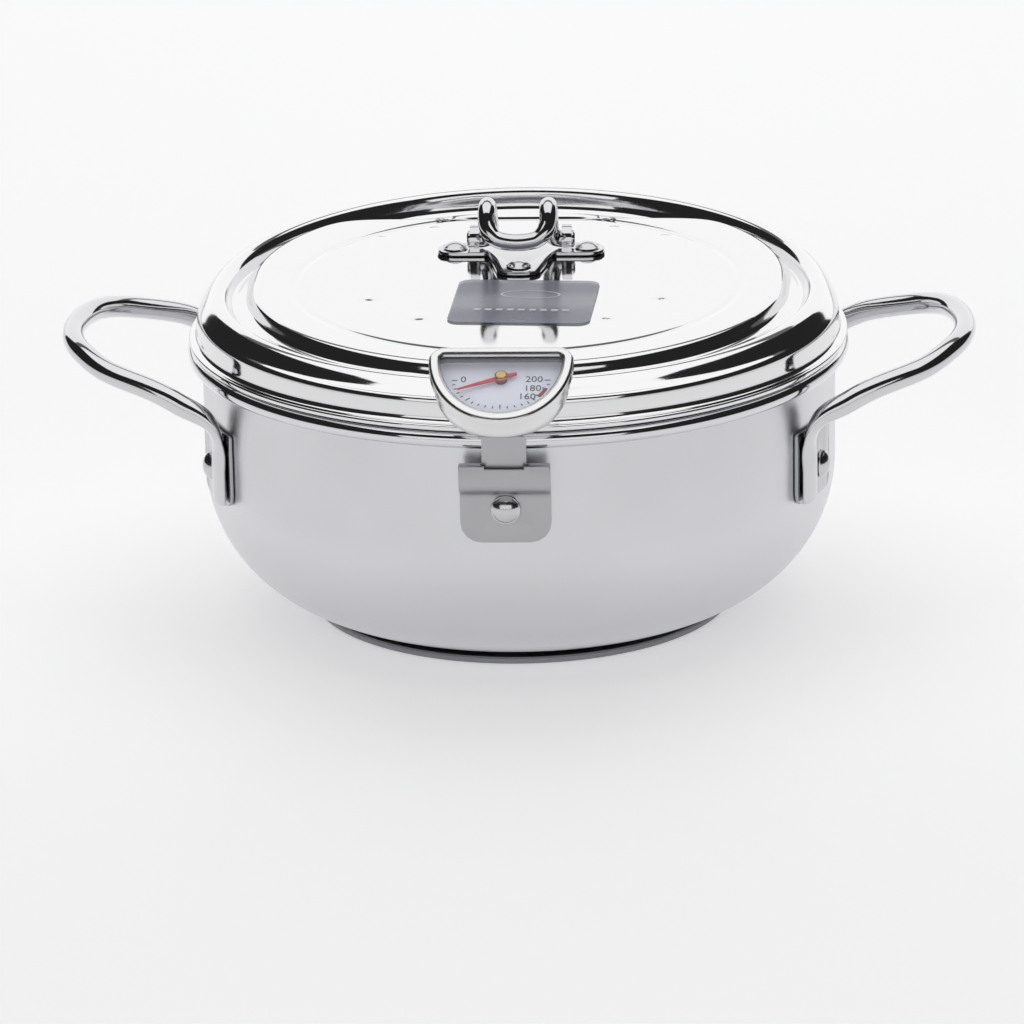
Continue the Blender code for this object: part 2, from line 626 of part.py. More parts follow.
def notch_cutter():
    """Box that cuts the shallow notch in the holder's front edge."""
    low = HOLDER_HIGH - NOTCH_DEPTH
    lift = 5.0 * MM
    near = TAB_OUTER
    far = TAB_OUTER + lift
    notch = [(near, low), (far, low), (far, low + lift), (near, low + lift)]
    return add_tool_object("holder_notch", across(notch, 0.5 * NOTCH_WIDTH))


def build_holder(holes):
    """Riveted plate whose pocket carries the thermometer."""
    bm = across(holder_outline(), 0.5 * HOLDER_WIDTH)
    low_edges = [edge for edge in bm.edges
                 if all(abs(v.co.z - HOLDER_LOW) < WELD for v in edge.verts)
                 and abs(edge.verts[0].co.x - edge.verts[1].co.x) < WELD]
    bmesh.ops.bevel(bm, geom=low_edges, offset=HOLDER_CORNER, offset_type="OFFSET",
                    segments=4, profile=0.5, affect="EDGES")
    holder = add_object("thermometer_holder", bm, DARK_STEEL)
    for tool in (holes, pocket_cutter(), notch_cutter()):
        combine(holder, tool, "DIFFERENCE")
    face = POT_RADIUS + GAP + HOLDER_THICKNESS
    pin = rivet(RIVET_HEAD, RIVET_DOME, RIVET_SHANK, wall_rivet_grip(face), RIVET_TAIL,
                RIVET_TAIL_THICKNESS)
    add_object("holder_rivet", pin, POLISHED_STEEL,
               place=outward_place(-0.5 * math.pi, face + GAP, HOLDER_RIVET_HEIGHT))


# --------------------------------------------------------------------------- thermometer

def dee(inset):
    """D-shaped outline of the face, moved in by inset: straight rear edge and a long round front."""
    half = FACE_HALF_WIDTH - inset
    corner = max(FACE_CORNER - inset, 1.0 * MM)
    rear = FACE_REAR - inset
    middle = min(FACE_REAR - FACE_CORNER, rear - corner)
    outline = [(x, middle + FACE_STRETCH * (y - middle))
               for x, y in arc((0.0, middle), half, math.pi, math.tau, FACE_ARC_STEPS)]
    outline += arc((half - corner, rear - corner), corner, 0.0, 0.5 * math.pi, FACE_CORNER_STEPS)[1:]
    straight = half - corner
    outline += [(straight * (1.0 - 2.0 * k / FACE_REAR_STEPS), rear) for k in range(1, FACE_REAR_STEPS)]
    outline += arc((corner - half, rear - corner), corner, 0.5 * math.pi, math.pi,
                   FACE_CORNER_STEPS)[:-1]
    return outline


def face_ring(inset, height):
    """The outline as points at one height over the face."""
    return [Vector((x, y, height)) for x, y in dee(inset)]


def face_prism(levels, wrap=False):
    """Body through face outlines given as (inset, height) pairs."""
    return skinned([face_ring(inset, height) for inset, height in levels], wrap)


def case_bottom_ring(shrink, height):
    """Flat, level outline of the case bottom, from the pivot; shrink moves it in."""
    middle = FACE_REAR - FACE_HALF_WIDTH
    scale_x, scale_y = CASE_BOTTOM_SCALE
    return [Vector((x * scale_x, (y - 0.5 * middle) * scale_y, height)) for x, y in dee(shrink)]


def case_bowl(upper, bottom):
    """Rings of the bowl between an upper ring and the bottom ring, from the top down."""
    rings = []
    for degrees in (0.0, 24.0, 46.0, 66.0, 82.0, 90.0):
        turn = math.radians(degrees)
        across_share, down_share = math.cos(turn), 1.0 - math.sin(turn)
        ring = []
        for high, low in zip(upper, bottom):
            reach = high - low
            ring.append(low + Vector((reach.x * across_share, reach.y * across_share,
                                      reach.z * down_share)))
        rings.append(ring)
    return rings


def case_body():
    """Cup with a D-shaped mouth, a ledge for the dial and a small level bottom."""
    tilt = Matrix.Rotation(FACE_TILT, 3, "X")

    def tilted(inset, height):
        return [tilt @ point for point in face_ring(inset, height)]

    low = -FACE_PIVOT_RISE
    outside = case_bowl(tilted(CASE_INSET, SHELF - GAP), case_bottom_ring(0.0, low))
    inside = case_bowl(tilted(INNER_INSET + SHELF_WIDTH, SHELF),
                       case_bottom_ring(CASE_BOTTOM_THICKNESS / CASE_BOTTOM_SCALE[0],
                                        low + CASE_BOTTOM_THICKNESS))
    rings = outside[::-1]
    rings += [tilted(CASE_INSET, -GAP), tilted(INNER_INSET, -GAP), tilted(INNER_INSET, SHELF)]
    return skinned(rings + inside)


def dial_body():
    """Flat dial with a round hole for the bush."""
    hole = BUSH_RADIUS + GAP
    rings = []
    for inner, height in ((True, DIAL_TOP), (False, DIAL_TOP), (False, DIAL_BOTTOM), (True, DIAL_BOTTOM)):
        ring = face_ring(FILLING_INSET, height)
        if inner:
            ring = [Vector((point.x, point.y, 0.0)).normalized() * hole + Vector((0.0, 0.0, height))
                    for point in ring]
        rings.append(ring)
    return skinned(rings, wrap=True)


def bush_body():
    """Flanged ring that guides the pointer's shaft."""
    segments = 12
    bore = (SHAFT_RADIUS + RUNNING_CLEARANCE) / math.cos(math.pi / segments)
    outline = [(bore, BUSH_BOTTOM), (BUSH_FLANGE, BUSH_BOTTOM), (BUSH_FLANGE, SHELF),
               (BUSH_RADIUS, SHELF), (BUSH_RADIUS, BUSH_TOP), (bore, BUSH_TOP)]
    return turned(outline, closed=True, segments=segments)


def coil_body():
    """Flat bimetal strip wound in a spiral round the shaft."""
    per_turn = 14
    rings = []
    for k in range(per_turn * COIL_TURNS + 1):
        turn = math.tau * k / per_turn
        radius = COIL_INNER + COIL_PITCH * k / per_turn
        ring = []
        for offset, height in ((-1, COIL_BOTTOM), (1, COIL_BOTTOM), (1, COIL_TOP), (-1, COIL_TOP)):
            reach = radius + 0.5 * offset * COIL_STRIP
            ring.append(Vector((reach * math.cos(turn), reach * math.sin(turn), height)))
        rings.append(ring)
    return skinned(rings)


def anchor_body():
    """Post that holds the coil's outer end, standing on the case bottom."""
    near = COIL_INNER + COIL_PITCH * COIL_TURNS + 0.5 * COIL_STRIP + GAP
    far = near + ANCHOR_THICKNESS
    tilt = Matrix.Rotation(FACE_TILT, 3, "X")
    top = tilt @ Vector((0.0, 0.0, COIL_TOP))
    bottom = CASE_BOTTOM_THICKNESS + GAP - FACE_PIVOT_RISE
    back, front = top.y + 0.5 * ANCHOR_WIDTH, top.y - 0.5 * ANCHOR_WIDTH
    outline = [(near, front), (far, front), (far, back), (near, back)]
    return extruded(outline, top.z - bottom, bottom)


def tab_body():
    """Bent strip: upright in the holder, then forward under the case."""
    middle = TAB_INNER + 0.5 * TAB_THICKNESS + FACE_PIVOT.y
    foot = HOLDER_HIGH - POCKET_DEPTH + GAP - FACE_PIVOT.z
    level = -FACE_PIVOT_RISE - GAP - 0.5 * TAB_THICKNESS
    scale = CASE_BOTTOM_SCALE[1]
    nose = (FACE_HALF_WIDTH - FACE_REAR + FACE_CORNER) * scale
    path = [(middle, foot)] + arc((middle + TAB_BEND, level - TAB_BEND), TAB_BEND, math.pi,
                                  0.5 * math.pi, 5)
    path.append((nose, level))
    return across(strip_outline(path, TAB_THICKNESS), 0.5 * TAB_WIDTH)


def tab_rivet_places():
    """Name and place of each rivet through the strip and the case bottom, from the pivot."""
    height = -FACE_PIVOT_RISE + CASE_BOTTOM_THICKNESS + GAP
    return [(name, Vector((x, -TAB_RIVET_FORWARD, height)))
            for name, x in (("left", -TAB_RIVET_SPREAD), ("right", TAB_RIVET_SPREAD))]


def build_thermometer():
    """Head, strip and everything inside the head but the pointer."""
    axis = add_empty("thermometer_axis", FACE_PIVOT)
    face = add_empty("thermometer_face", (0.0, 0.0, 0.0), axis, FACE_TILT)
    spots = tab_rivet_places()
    hole_rods = [(rod(TAB_RIVET_SHANK + GAP, 6.0 * MM), Matrix.Translation(place)) for _, place in spots]
    holes = add_tool_object("tab_rivet_holes", merged(hole_rods), axis)
    case = add_object("thermometer_case", case_body(), POLISHED_STEEL, axis)
    tab = add_object("thermometer_tab", tab_body(), DARK_STEEL, axis)
    combine(case, holes, "DIFFERENCE")
    combine(tab, holes, "DIFFERENCE")
    grip = CASE_BOTTOM_THICKNESS + TAB_THICKNESS + 3.0 * GAP
    for name, place in spots:
        pin = rivet(TAB_RIVET_HEAD, TAB_RIVET_THICKNESS, TAB_RIVET_SHANK, grip, TAB_RIVET_HEAD,
                    TAB_RIVET_THICKNESS)
        add_object("tab_rivet_" + name, pin, POLISHED_STEEL, axis, Matrix.Translation(place))
    add_object("coil_anchor", anchor_body(), BRASS, axis)

    bezel = [(0.0, -BEZEL_SKIRT), (0.0, 0.3 * BEZEL_TOP), (BEZEL_WALL, BEZEL_TOP),
             (BEZEL_WIDTH - BEZEL_WALL, BEZEL_TOP), (BEZEL_WIDTH, 0.4 * BEZEL_TOP),
             (BEZEL_WIDTH, 0.0), (BEZEL_WALL, 0.0), (BEZEL_WALL, -BEZEL_SKIRT)]
    add_object("thermometer_bezel", face_prism(bezel, wrap=True), POLISHED_STEEL, face)
    lens = [(FILLING_INSET, LENS_BOTTOM), (FILLING_INSET, LENS_TOP - 0.2 * MM),
            (BEZEL_WIDTH + LENS_DOME, LENS_TOP), (2.0 * BEZEL_WIDTH, LENS_TOP + LENS_DOME)]
    add_object("thermometer_lens", face_prism(lens), CLEAR_GLASS, face)
    gasket_inner = FILLING_INSET + GASKET_WIDTH
    gasket = [(FILLING_INSET, GASKET_TOP), (gasket_inner, GASKET_TOP),
              (gasket_inner, GASKET_BOTTOM), (FILLING_INSET, GASKET_BOTTOM)]
    add_object("lens_gasket", face_prism(gasket, wrap=True), BLACK_RUBBER, face)
    add_object("dial_plate", dial_body(), DIAL_WHITE, face)
    add_object("shaft_bush", bush_body(), BRASS, face)
    add_object("bimetal_coil", coil_body(), BIMETAL, face)
    return axis


def pointer_outline():
    """Blade along +X with a round boss at the pivot and a short tail."""
    half = 0.5 * POINTER_WIDTH
    open_angle = math.asin(half / POINTER_BOSS)
    outline = [(POINTER_LENGTH, 0.25 * half)]
    outline += arc((0.0, 0.0), POINTER_BOSS, open_angle, math.pi - open_angle, 5)
    outline += [(-POINTER_TAIL, 0.7 * half), (-POINTER_TAIL, -0.7 * half)]
    outline += arc((0.0, 0.0), POINTER_BOSS, math.pi + open_angle, math.tau - open_angle, 5)
    return outline + [(POINTER_LENGTH, -0.25 * half)]


def build_pointer(thermometer):
    """Shaft, pointer and hub, which turn together about the face's normal."""
    axis = add_empty("pointer_axis", (0.0, 0.0, 0.0), thermometer, FACE_TILT)
    shaft = rod(SHAFT_RADIUS, SHAFT_TOP - COIL_BOTTOM, 12)
    bmesh.ops.translate(shaft, verts=shaft.verts, vec=(0.0, 0.0, 0.5 * (SHAFT_TOP + COIL_BOTTOM)))
    add_object("pointer_shaft", shaft, BRASS, axis)
    blade = extruded(pointer_outline(), POINTER_THICKNESS, POINTER_BOTTOM)
    add_object("pointer", blade, POINTER_RED, axis, Matrix.Rotation(POINTER_REST, 4, "Z"))
    low = POINTER_TOP + GAP
    hub = [(0.0, low), (HUB_RADIUS, low), (HUB_RADIUS, low + 0.6 * HUB_HEIGHT),
           (0.7 * HUB_RADIUS, low + HUB_HEIGHT), (0.0, low + HUB_HEIGHT)]
    add_object("pointer_hub", turned(hub, segments=RIVET_SEGMENTS), BRASS, axis)


# --------------------------------------------------------------------------- lid

def crest_height(y):
    """Height of the shoulder's highest line, which climbs towards the rear."""
    share = y / CREST_RADIUS
    return SEAT_HEIGHT + CREST_RISE + CREST_SLOPE * y + CREST_BOW * share * share


def plateau_height(y):
    """Height of the flat, sloped middle."""
    return PLATEAU_HEIGHT + PLATEAU_SLOPE * y


def plateau_edge(angle):
    """Radius of the middle's edge: round in front, cut straight at the rear."""
    cosine, sine = math.cos(angle), math.sin(angle)
    if sine <= 0.0:
        return PLATEAU_RADIUS
    shift = PLATEAU_REAR_SHIFT
    reach = shift * sine + math.sqrt(PLATEAU_RADIUS ** 2 - (shift * cosine) ** 2)
    if reach * sine < shift:
        reach = PLATEAU_RADIUS / abs(cosine)
    chord = (PLATEAU_RADIUS - PLATEAU_CHORD_INSET) / sine
    power = -CHORD_SHARPNESS
    return (reach ** power + chord ** power) ** (1.0 / power)


def lid_top(angle):
    """Upper outline of the lid at one angle, from the middle out to the hem's underside."""
    sine = math.sin(angle)
    edge = plateau_edge(angle)
    flat = plateau_height(edge * sine)
    crest = crest_height(CREST_RADIUS * sine)
    start = edge - EDGE_FLAT
    groove_out = CREST_RADIUS - GROOVE_OUTER_INSET
    seat, hem = SEAT_HEIGHT, HEM_RADIUS
    outline = [(0.0, PLATEAU_HEIGHT), (start, plateau_height(start * sine))]
    outline += [(edge + run, flat - share * GROOVE_DEPTH) for run, share in EDGE_STEPS]
    outline.append((groove_out, plateau_height(groove_out * sine) - GROOVE_DEPTH))
    outline += [(CREST_RADIUS + run, crest + rise) for run, rise in CREST_STEPS]
    outline.append((hem - SHOULDER_INSET, seat + SHOULDER_SHARE * (crest - seat)))
    return outline + [(hem + run, seat + rise) for run, rise in HEM_STEPS]


def moved_in(outline, distance):
    """The outline moved to its lower or inner side by distance."""
    result = []
    for i, point in enumerate(outline):
        run = Vector(outline[min(i + 1, len(outline) - 1)]) - Vector(outline[max(i - 1, 0)])
        side = Vector((run.y, -run.x)).normalized() * distance
        result.append((max(point[0] + side.x, 0.0), point[1] + side.y))
    result[0] = (0.0, outline[0][1] - distance)
    return result


def lid_section(angle):
    """Closed section of the lid at one angle, with the locating lip under the hem."""
    top = lid_top(angle)
    seat = SEAT_HEIGHT
    lip_inner = LIP_RADIUS - LIP_WALL
    lip = [(LIP_RADIUS, seat), (LIP_RADIUS, seat - LIP_DEPTH), (lip_inner, seat - LIP_DEPTH),
           (lip_inner, seat + LID_SHEET), (HEM_RADIUS - 2.0 * MM - LID_SHEET, seat + LID_SHEET)]
    under = moved_in(top[:-4], LID_SHEET)
    return top + lip + under[::-1]


def lid_body():
    """The lid's sheet: one section for each angle, joined round and closed at two poles."""
    sections = [lid_section(math.tau * k / ROUND_SEGMENTS) for k in range(ROUND_SEGMENTS)]
    rings = []
    for i in range(len(sections[0])):
        ring = []
        for k, section in enumerate(sections):
            angle = math.tau * k / ROUND_SEGMENTS
            radius, height = section[i]
            ring.append(Vector((radius * math.cos(angle), radius * math.sin(angle), height)))
        rings.append(ring)
    rings[0] = rings[0][:1]
    rings[-1] = rings[-1][:1]
    bm = skinned(rings)
    bmesh.ops.translate(bm, verts=bm.verts, vec=(0.0, 0.0, -SEAT_HEIGHT))
    return bm


def bracket_outline():
    """Top view of the bracket: two ears with the hinge behind, and a nose to the front."""
    ear, back = BRACKET_HALF_LENGTH, BRACKET_AXIS_BACK
    rear, front = back + BRACKET_EAR_HALF, back - BRACKET_EAR_HALF
    end = 0.95 * BRACKET_EAR_HALF
    nose, tip = BRACKET_NOSE, BRACKET_NOSE_FRONT
    return rounded([(-ear, rear, end), (-ear, front, end), (-BRACKET_NECK, front, 1.5 * MM),
                    (-nose, tip, 0.9 * nose), (nose, tip, 0.9 * nose),
                    (BRACKET_NECK, front, 1.5 * MM), (ear, front, end), (ear, rear, end)])


def knuckles():
    """Upright eyes that carry the wire's ends, as one tool for the bracket."""
    half = WIRE_RADIUS + HOOK_CLEARANCE + KNUCKLE_WALL
    low = GAP + 0.5 * BRACKET_THICKNESS
    outline = [(-half, low), (half, low)] + arc((0.0, HINGE_RISE), half, 0.0, math.pi, 8)
    middle = 0.5 * (KNUCKLE_INNER + KNUCKLE_OUTER)
    pieces = []
    for side in (-1.0, 1.0):
        place = Matrix.Translation((side * middle, BRACKET_AXIS_BACK, 0.0))
        pieces.append((across(outline, 0.5 * KNUCKLE_WIDTH), place))
    return merged(pieces)


def hinge_bore():
    """Rod that cuts the hinge holes through both knuckles."""
    segments = 16
    radius = (WIRE_RADIUS + HOOK_CLEARANCE) / math.cos(math.pi / segments)
    turn = Matrix.Rotation(0.5 * math.pi, 4, "Y")
    place = Matrix.Translation((0.0, BRACKET_AXIS_BACK, HINGE_RISE)) @ turn
    return merged([(rod(radius, 3.0 * KNUCKLE_OUTER, segments), place)])


def lid_rivet_places():
    """Name and place on the lid's top of each bracket rivet."""
    nose = BRACKET_NOSE_FRONT + BRACKET_NOSE
    return [("left", (-BRACKET_EAR_RIVET, BRACKET_AXIS_BACK)),
            ("right", (BRACKET_EAR_RIVET, BRACKET_AXIS_BACK)), ("front", (0.0, nose))]


def hook_path():
    """Middle line of the wire, from its left end through the closed front end to its right end."""
    wide = HOOK_HALF_WIDTH
    end = KNUCKLE_OUTER + 1.0 * MM
    top_y, top_z = HOOK_TOP
    end_y, end_z = HOOK_END
    half = [(end, 0.0, 0.0), (0.5 * (KNUCKLE_INNER + KNUCKLE_OUTER), 0.0, 0.0), (KNUCKLE_INNER, 0.0, 0.0),
            *((wide + out, y, z) for out, y, z in HOOK_LEG_STEPS),
            (wide, 0.6 * top_y, 0.75 * top_z), (wide, top_y, top_z),
            (wide, 0.5 * (top_y + end_y), top_z - HOOK_ARCH_DROP),
            (wide, end_y + HOOK_END_RISE, 0.5 * (top_z + end_z)),
            (wide - HOOK_CORNER[0], end_y + HOOK_CORNER[1], end_z + HOOK_CORNER[2]),
            (0.5 * wide, end_y, end_z)]
    left = [(-x, y, z) for x, y, z in half]
    return smooth_path(left + [(0.0, end_y, end_z)] + half[::-1], 2)


def wire_section(_point):
    """Both half sizes of the hook's round wire."""
    return WIRE_RADIUS, WIRE_RADIUS


def off_the_wire(point):
    """A direction that never runs along the wire: its hinged ends lie along X, the rest doesn't."""
    if abs(point.x) > KNUCKLE_INNER:
        return Vector((0.0, 0.6, 0.8))
    return Vector((1.0, 0.55, 0.35))


def build_lid():
    """Lid sheet with its bracket, rivets, label and folding wire handle."""
    lid = add_empty("lid_axis", (0.0, 0.0, SEAT_HEIGHT))
    top = add_empty("lid_top_frame", (0.0, 0.0, PLATEAU_RISE), lid, LID_TILT)
    spots = lid_rivet_places()
    hole_rods = [(rod(LID_RIVET_SHANK + GAP, 8.0 * MM), Matrix.Translation((*place, 0.0)))
                 for _, place in spots]
    holes = add_tool_object("lid_rivet_holes", merged(hole_rods), top)
    shell = add_object("lid_shell", lid_body(), POLISHED_STEEL, lid)
    combine(shell, holes, "DIFFERENCE")

    bracket = add_object("lid_bracket", extruded(bracket_outline(), BRACKET_THICKNESS, GAP),
                         POLISHED_STEEL, top)
    combine(bracket, add_tool_object("bracket_knuckles", knuckles(), top), "UNION")
    combine(bracket, add_tool_object("bracket_hinge_bore", hinge_bore(), top), "DIFFERENCE")
    combine(bracket, holes, "DIFFERENCE")
    grip = BRACKET_TOP + LID_SHEET + 2.0 * GAP
    for name, place in spots:
        pin = rivet(LID_RIVET_HEAD, LID_RIVET_DOME, LID_RIVET_SHANK, grip, LID_RIVET_HEAD,
                    RIVET_TAIL_THICKNESS)
        add_object("bracket_rivet_" + name, pin, POLISHED_STEEL, top,
                   Matrix.Translation((*place, BRACKET_TOP + GAP)))

    wide, long = LABEL_SIZE
    film = rounded([(-0.5 * wide, -0.5 * long, LABEL_CORNER), (0.5 * wide, -0.5 * long, LABEL_CORNER),
                    (0.5 * wide, 0.5 * long, LABEL_CORNER), (-0.5 * wide, 0.5 * long, LABEL_CORNER)])
    place = Matrix.Translation((*LABEL_CENTRE, GAP)) @ Matrix.Rotation(LABEL_SKEW, 4, "Z")
    add_object("lid_label", extruded(film, LABEL_THICKNESS), LABEL_FILM, top, place)

    hinge = add_empty("lid_handle_axis", (0.0, BRACKET_AXIS_BACK, HINGE_RISE), top)
    wire = swept(hook_path(), wire_section, off_the_wire)
    add_object("lid_handle", wire, POLISHED_STEEL, hinge)


def main():
    """Build the pot, then the lid, then the thermometer and its pointer."""
    clear_scene()
    holes = wall_holes()
    build_bowl(holes)
    build_side_handles(holes)
    build_holder(holes)
    build_lid()
    build_pointer(build_thermometer())


main()
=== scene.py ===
"""Looks of a stovetop deep-frying pot with a drain lid and a lift-out oil thermometer.

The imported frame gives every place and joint. The classes below rebuild the visible steel with fine
meshes, add the dial's and the label's printing, and dress every piece in a procedural finish.
Lengths are metres. The pot's axis is Z and its front faces -Y.
"""

import json
import logging
import math
from collections.abc import Callable, Sequence
from dataclasses import dataclass, field
from enum import Enum

import bmesh
import bpy
from mathutils import Matrix, Vector


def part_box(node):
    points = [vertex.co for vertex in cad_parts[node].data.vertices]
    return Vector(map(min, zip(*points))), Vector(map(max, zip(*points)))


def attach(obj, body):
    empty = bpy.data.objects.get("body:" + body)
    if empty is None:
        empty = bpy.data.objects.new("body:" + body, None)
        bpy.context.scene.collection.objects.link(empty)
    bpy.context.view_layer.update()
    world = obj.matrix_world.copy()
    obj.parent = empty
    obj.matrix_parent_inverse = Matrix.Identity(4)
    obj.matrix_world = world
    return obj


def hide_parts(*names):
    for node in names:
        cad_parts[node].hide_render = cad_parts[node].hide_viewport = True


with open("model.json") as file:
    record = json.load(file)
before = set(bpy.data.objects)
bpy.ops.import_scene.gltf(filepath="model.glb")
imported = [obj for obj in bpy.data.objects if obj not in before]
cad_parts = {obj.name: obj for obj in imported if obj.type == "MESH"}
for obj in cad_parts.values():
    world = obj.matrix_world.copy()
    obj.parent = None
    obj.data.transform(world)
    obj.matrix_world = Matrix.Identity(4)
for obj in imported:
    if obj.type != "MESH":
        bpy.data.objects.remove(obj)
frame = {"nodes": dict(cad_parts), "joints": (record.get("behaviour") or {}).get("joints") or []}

LOG = logging.getLogger("pot")
MM = 0.001
UP = Vector((0.0, 0.0, 1.0))
WELD = 0.001 * MM
SHARP_ANGLE = math.radians(38.0)

Outline = list[tuple[float, float]]
Ring = list[Vector]


class Body(str, Enum):
    """The groups of pieces that move together."""

    POT = "pot"
    LID = "lid"
    HOOK = "hook"
    THERMOMETER = "thermometer"
    NEEDLE = "needle"


# --------------------------------------------------------------------------- finishes

def linear_colour(hex_colour: str) -> tuple[float, float, float, float]:
    """Turn an sRGB hex colour into linear values.

    Args:
        hex_colour: a colour such as "#C8C8CC".

    Returns:
        Red, green, blue and an alpha of 1.
    """
    shares = [int(hex_colour[i:i + 2], 16) / 255.0 for i in (1, 3, 5)]
    values = [s / 12.92 if s <= 0.04045 else ((s + 0.055) / 1.055) ** 2.4 for s in shares]
    return (values[0], values[1], values[2], 1.0)


def add_node(tree: bpy.types.NodeTree, kind: str, inputs: dict | None = None,
             **settings: object) -> bpy.types.Node:
    """Add one node with its settings, values and links.

    Args:
        tree: the node tree.
        kind: the node's type name.
        inputs: a value or a linked output socket for each input, by name or number.
        **settings: the node's own properties.

    Returns:
        The new node.
    """
    node = tree.nodes.new(kind)
    for name, value in settings.items():
        setattr(node, name, value)
    for key, value in (inputs or {}).items():
        if isinstance(value, bpy.types.NodeSocket):
            tree.links.new(value, node.inputs[key])
        else:
            node.inputs[key].default_value = value
    return node


@dataclass(frozen=True)
class Finish:
    """A surface: what it is made of and how it was made.

    Attributes:
        name: the finish's common name.
        colour: its sRGB colour.
        roughness: its mean roughness.
        metallic: 1 for bare metal.
        spread: how far the roughness wanders either side of the mean.
        cloud_mm: size of the patches over which it wanders.
        grain_mm: spacing of the finest marks along X, Y and Z.
        grain_depth_mm: height of those marks.
    """

    name: str
    colour: str
    roughness: float
    metallic: float = 1.0
    spread: float = 0.02
    cloud_mm: float = 30.0
    grain_mm: tuple[float, float, float] = (0.8, 0.8, 0.8)
    grain_depth_mm: float = 0.002

    def material(self) -> bpy.types.Material:
        """Give this finish's material, made at its first use.

        Returns:
            The material, the same one each time.
        """
        made = bpy.data.materials.get(self.name)
        if made is None:
            made = bpy.data.materials.new(self.name)
            made.use_nodes = True
            tree = made.node_tree
            shader = tree.nodes["Principled BSDF"]
            shader.inputs["Base Color"].default_value = linear_colour(self.colour)
            shader.inputs["Metallic"].default_value = self.metallic
            place = add_node(tree, "ShaderNodeTexCoord").outputs["Object"]
            self.vary(tree, shader, place)
            self.adjust(tree, shader, place)
        return made

    def vary(self, tree: bpy.types.NodeTree, shader: bpy.types.Node, place: bpy.types.NodeSocket) -> None:
        """Let the roughness wander and lay the finest marks in the surface.

        Args:
            tree: the material's node tree.
            shader: its principled shader.
            place: object coordinates.
        """
        clouds = add_node(tree, "ShaderNodeTexNoise", {"Vector": place, "Scale": 1.0 / (self.cloud_mm * MM),
                                                       "Detail": 3.0, "Roughness": 0.6})
        wander = add_node(tree, "ShaderNodeMapRange", {"Value": clouds.outputs["Fac"], 1: 0.3, 2: 0.7,
                                                       3: max(self.roughness - self.spread, 0.0),
                                                       4: self.roughness + self.spread})
        tree.links.new(wander.outputs["Result"], shader.inputs["Roughness"])
        scales = tuple(1.0 / (size * MM) for size in self.grain_mm)
        stretched = add_node(tree, "ShaderNodeMapping", {"Vector": place, "Scale": scales})
        grain = add_node(tree, "ShaderNodeTexNoise", {"Vector": stretched.outputs["Vector"], "Scale": 1.0,
                                                      "Detail": 2.0, "Roughness": 0.5})
        bump = add_node(tree, "ShaderNodeBump", {"Height": grain.outputs["Fac"], "Strength": 1.0,
                                                 "Distance": self.grain_depth_mm * MM})
        tree.links.new(bump.outputs["Normal"], shader.inputs["Normal"])

    def adjust(self, tree: bpy.types.NodeTree, shader: bpy.types.Node, place: bpy.types.NodeSocket) -> None:
        """Add what a special finish needs; a plain one needs nothing more.

        Args:
            tree: the material's node tree.
            shader: its principled shader.
            place: object coordinates.
        """


@dataclass(frozen=True)
class Glass(Finish):
    """Clear window glass: thin, smooth and almost colourless.

    Attributes:
        index: refractive index.
    """

    index: float = 1.45

    def adjust(self, tree: bpy.types.NodeTree, shader: bpy.types.Node, place: bpy.types.NodeSocket) -> None:
        """Let light through."""
        shader.inputs["Transmission Weight"].default_value = 1.0
        shader.inputs["IOR"].default_value = self.index


@dataclass(frozen=True)
class Film(Finish):
    """Printed plastic film: see-through, with a soft pale band across its middle.

    Attributes:
        band_colour: the band's sRGB colour.
        opacity: share of what lies behind that the film hides.
        band_centre: the band's middle along Y.
        band_half_width: where the band has faded out.
    """

    band_colour: str = "#C6C7D4"
    opacity: float = 0.6
    band_centre: float = -22.5 * MM
    band_half_width: float = 12.0 * MM

    def adjust(self, tree: bpy.types.NodeTree, shader: bpy.types.Node, place: bpy.types.NodeSocket) -> None:
        """Blend the two tints along the label's length and set the film's opacity.

        Args:
            tree: the material's node tree.
            shader: its principled shader.
            place: object coordinates.
        """
        split = add_node(tree, "ShaderNodeSeparateXYZ", {"Vector": place})
        offset = add_node(tree, "ShaderNodeMath", {0: split.outputs["Y"], 1: self.band_centre},
                          operation="SUBTRACT")
        reach = add_node(tree, "ShaderNodeMath", {0: offset.outputs[0]}, operation="ABSOLUTE")
        share = add_node(tree, "ShaderNodeMapRange", {"Value": reach.outputs[0],
                                                      1: 0.2 * self.band_half_width,
                                                      2: self.band_half_width, 3: 1.0, 4: 0.0},
                         interpolation_type="SMOOTHSTEP")
        mix = add_node(tree, "ShaderNodeMix", {"Factor": share.outputs["Result"],
                                               "A": linear_colour(self.colour),
                                               "B": linear_colour(self.band_colour)}, data_type="RGBA")
        tree.links.new(mix.outputs[2], shader.inputs["Base Color"])
        shader.inputs["Alpha"].default_value = self.opacity


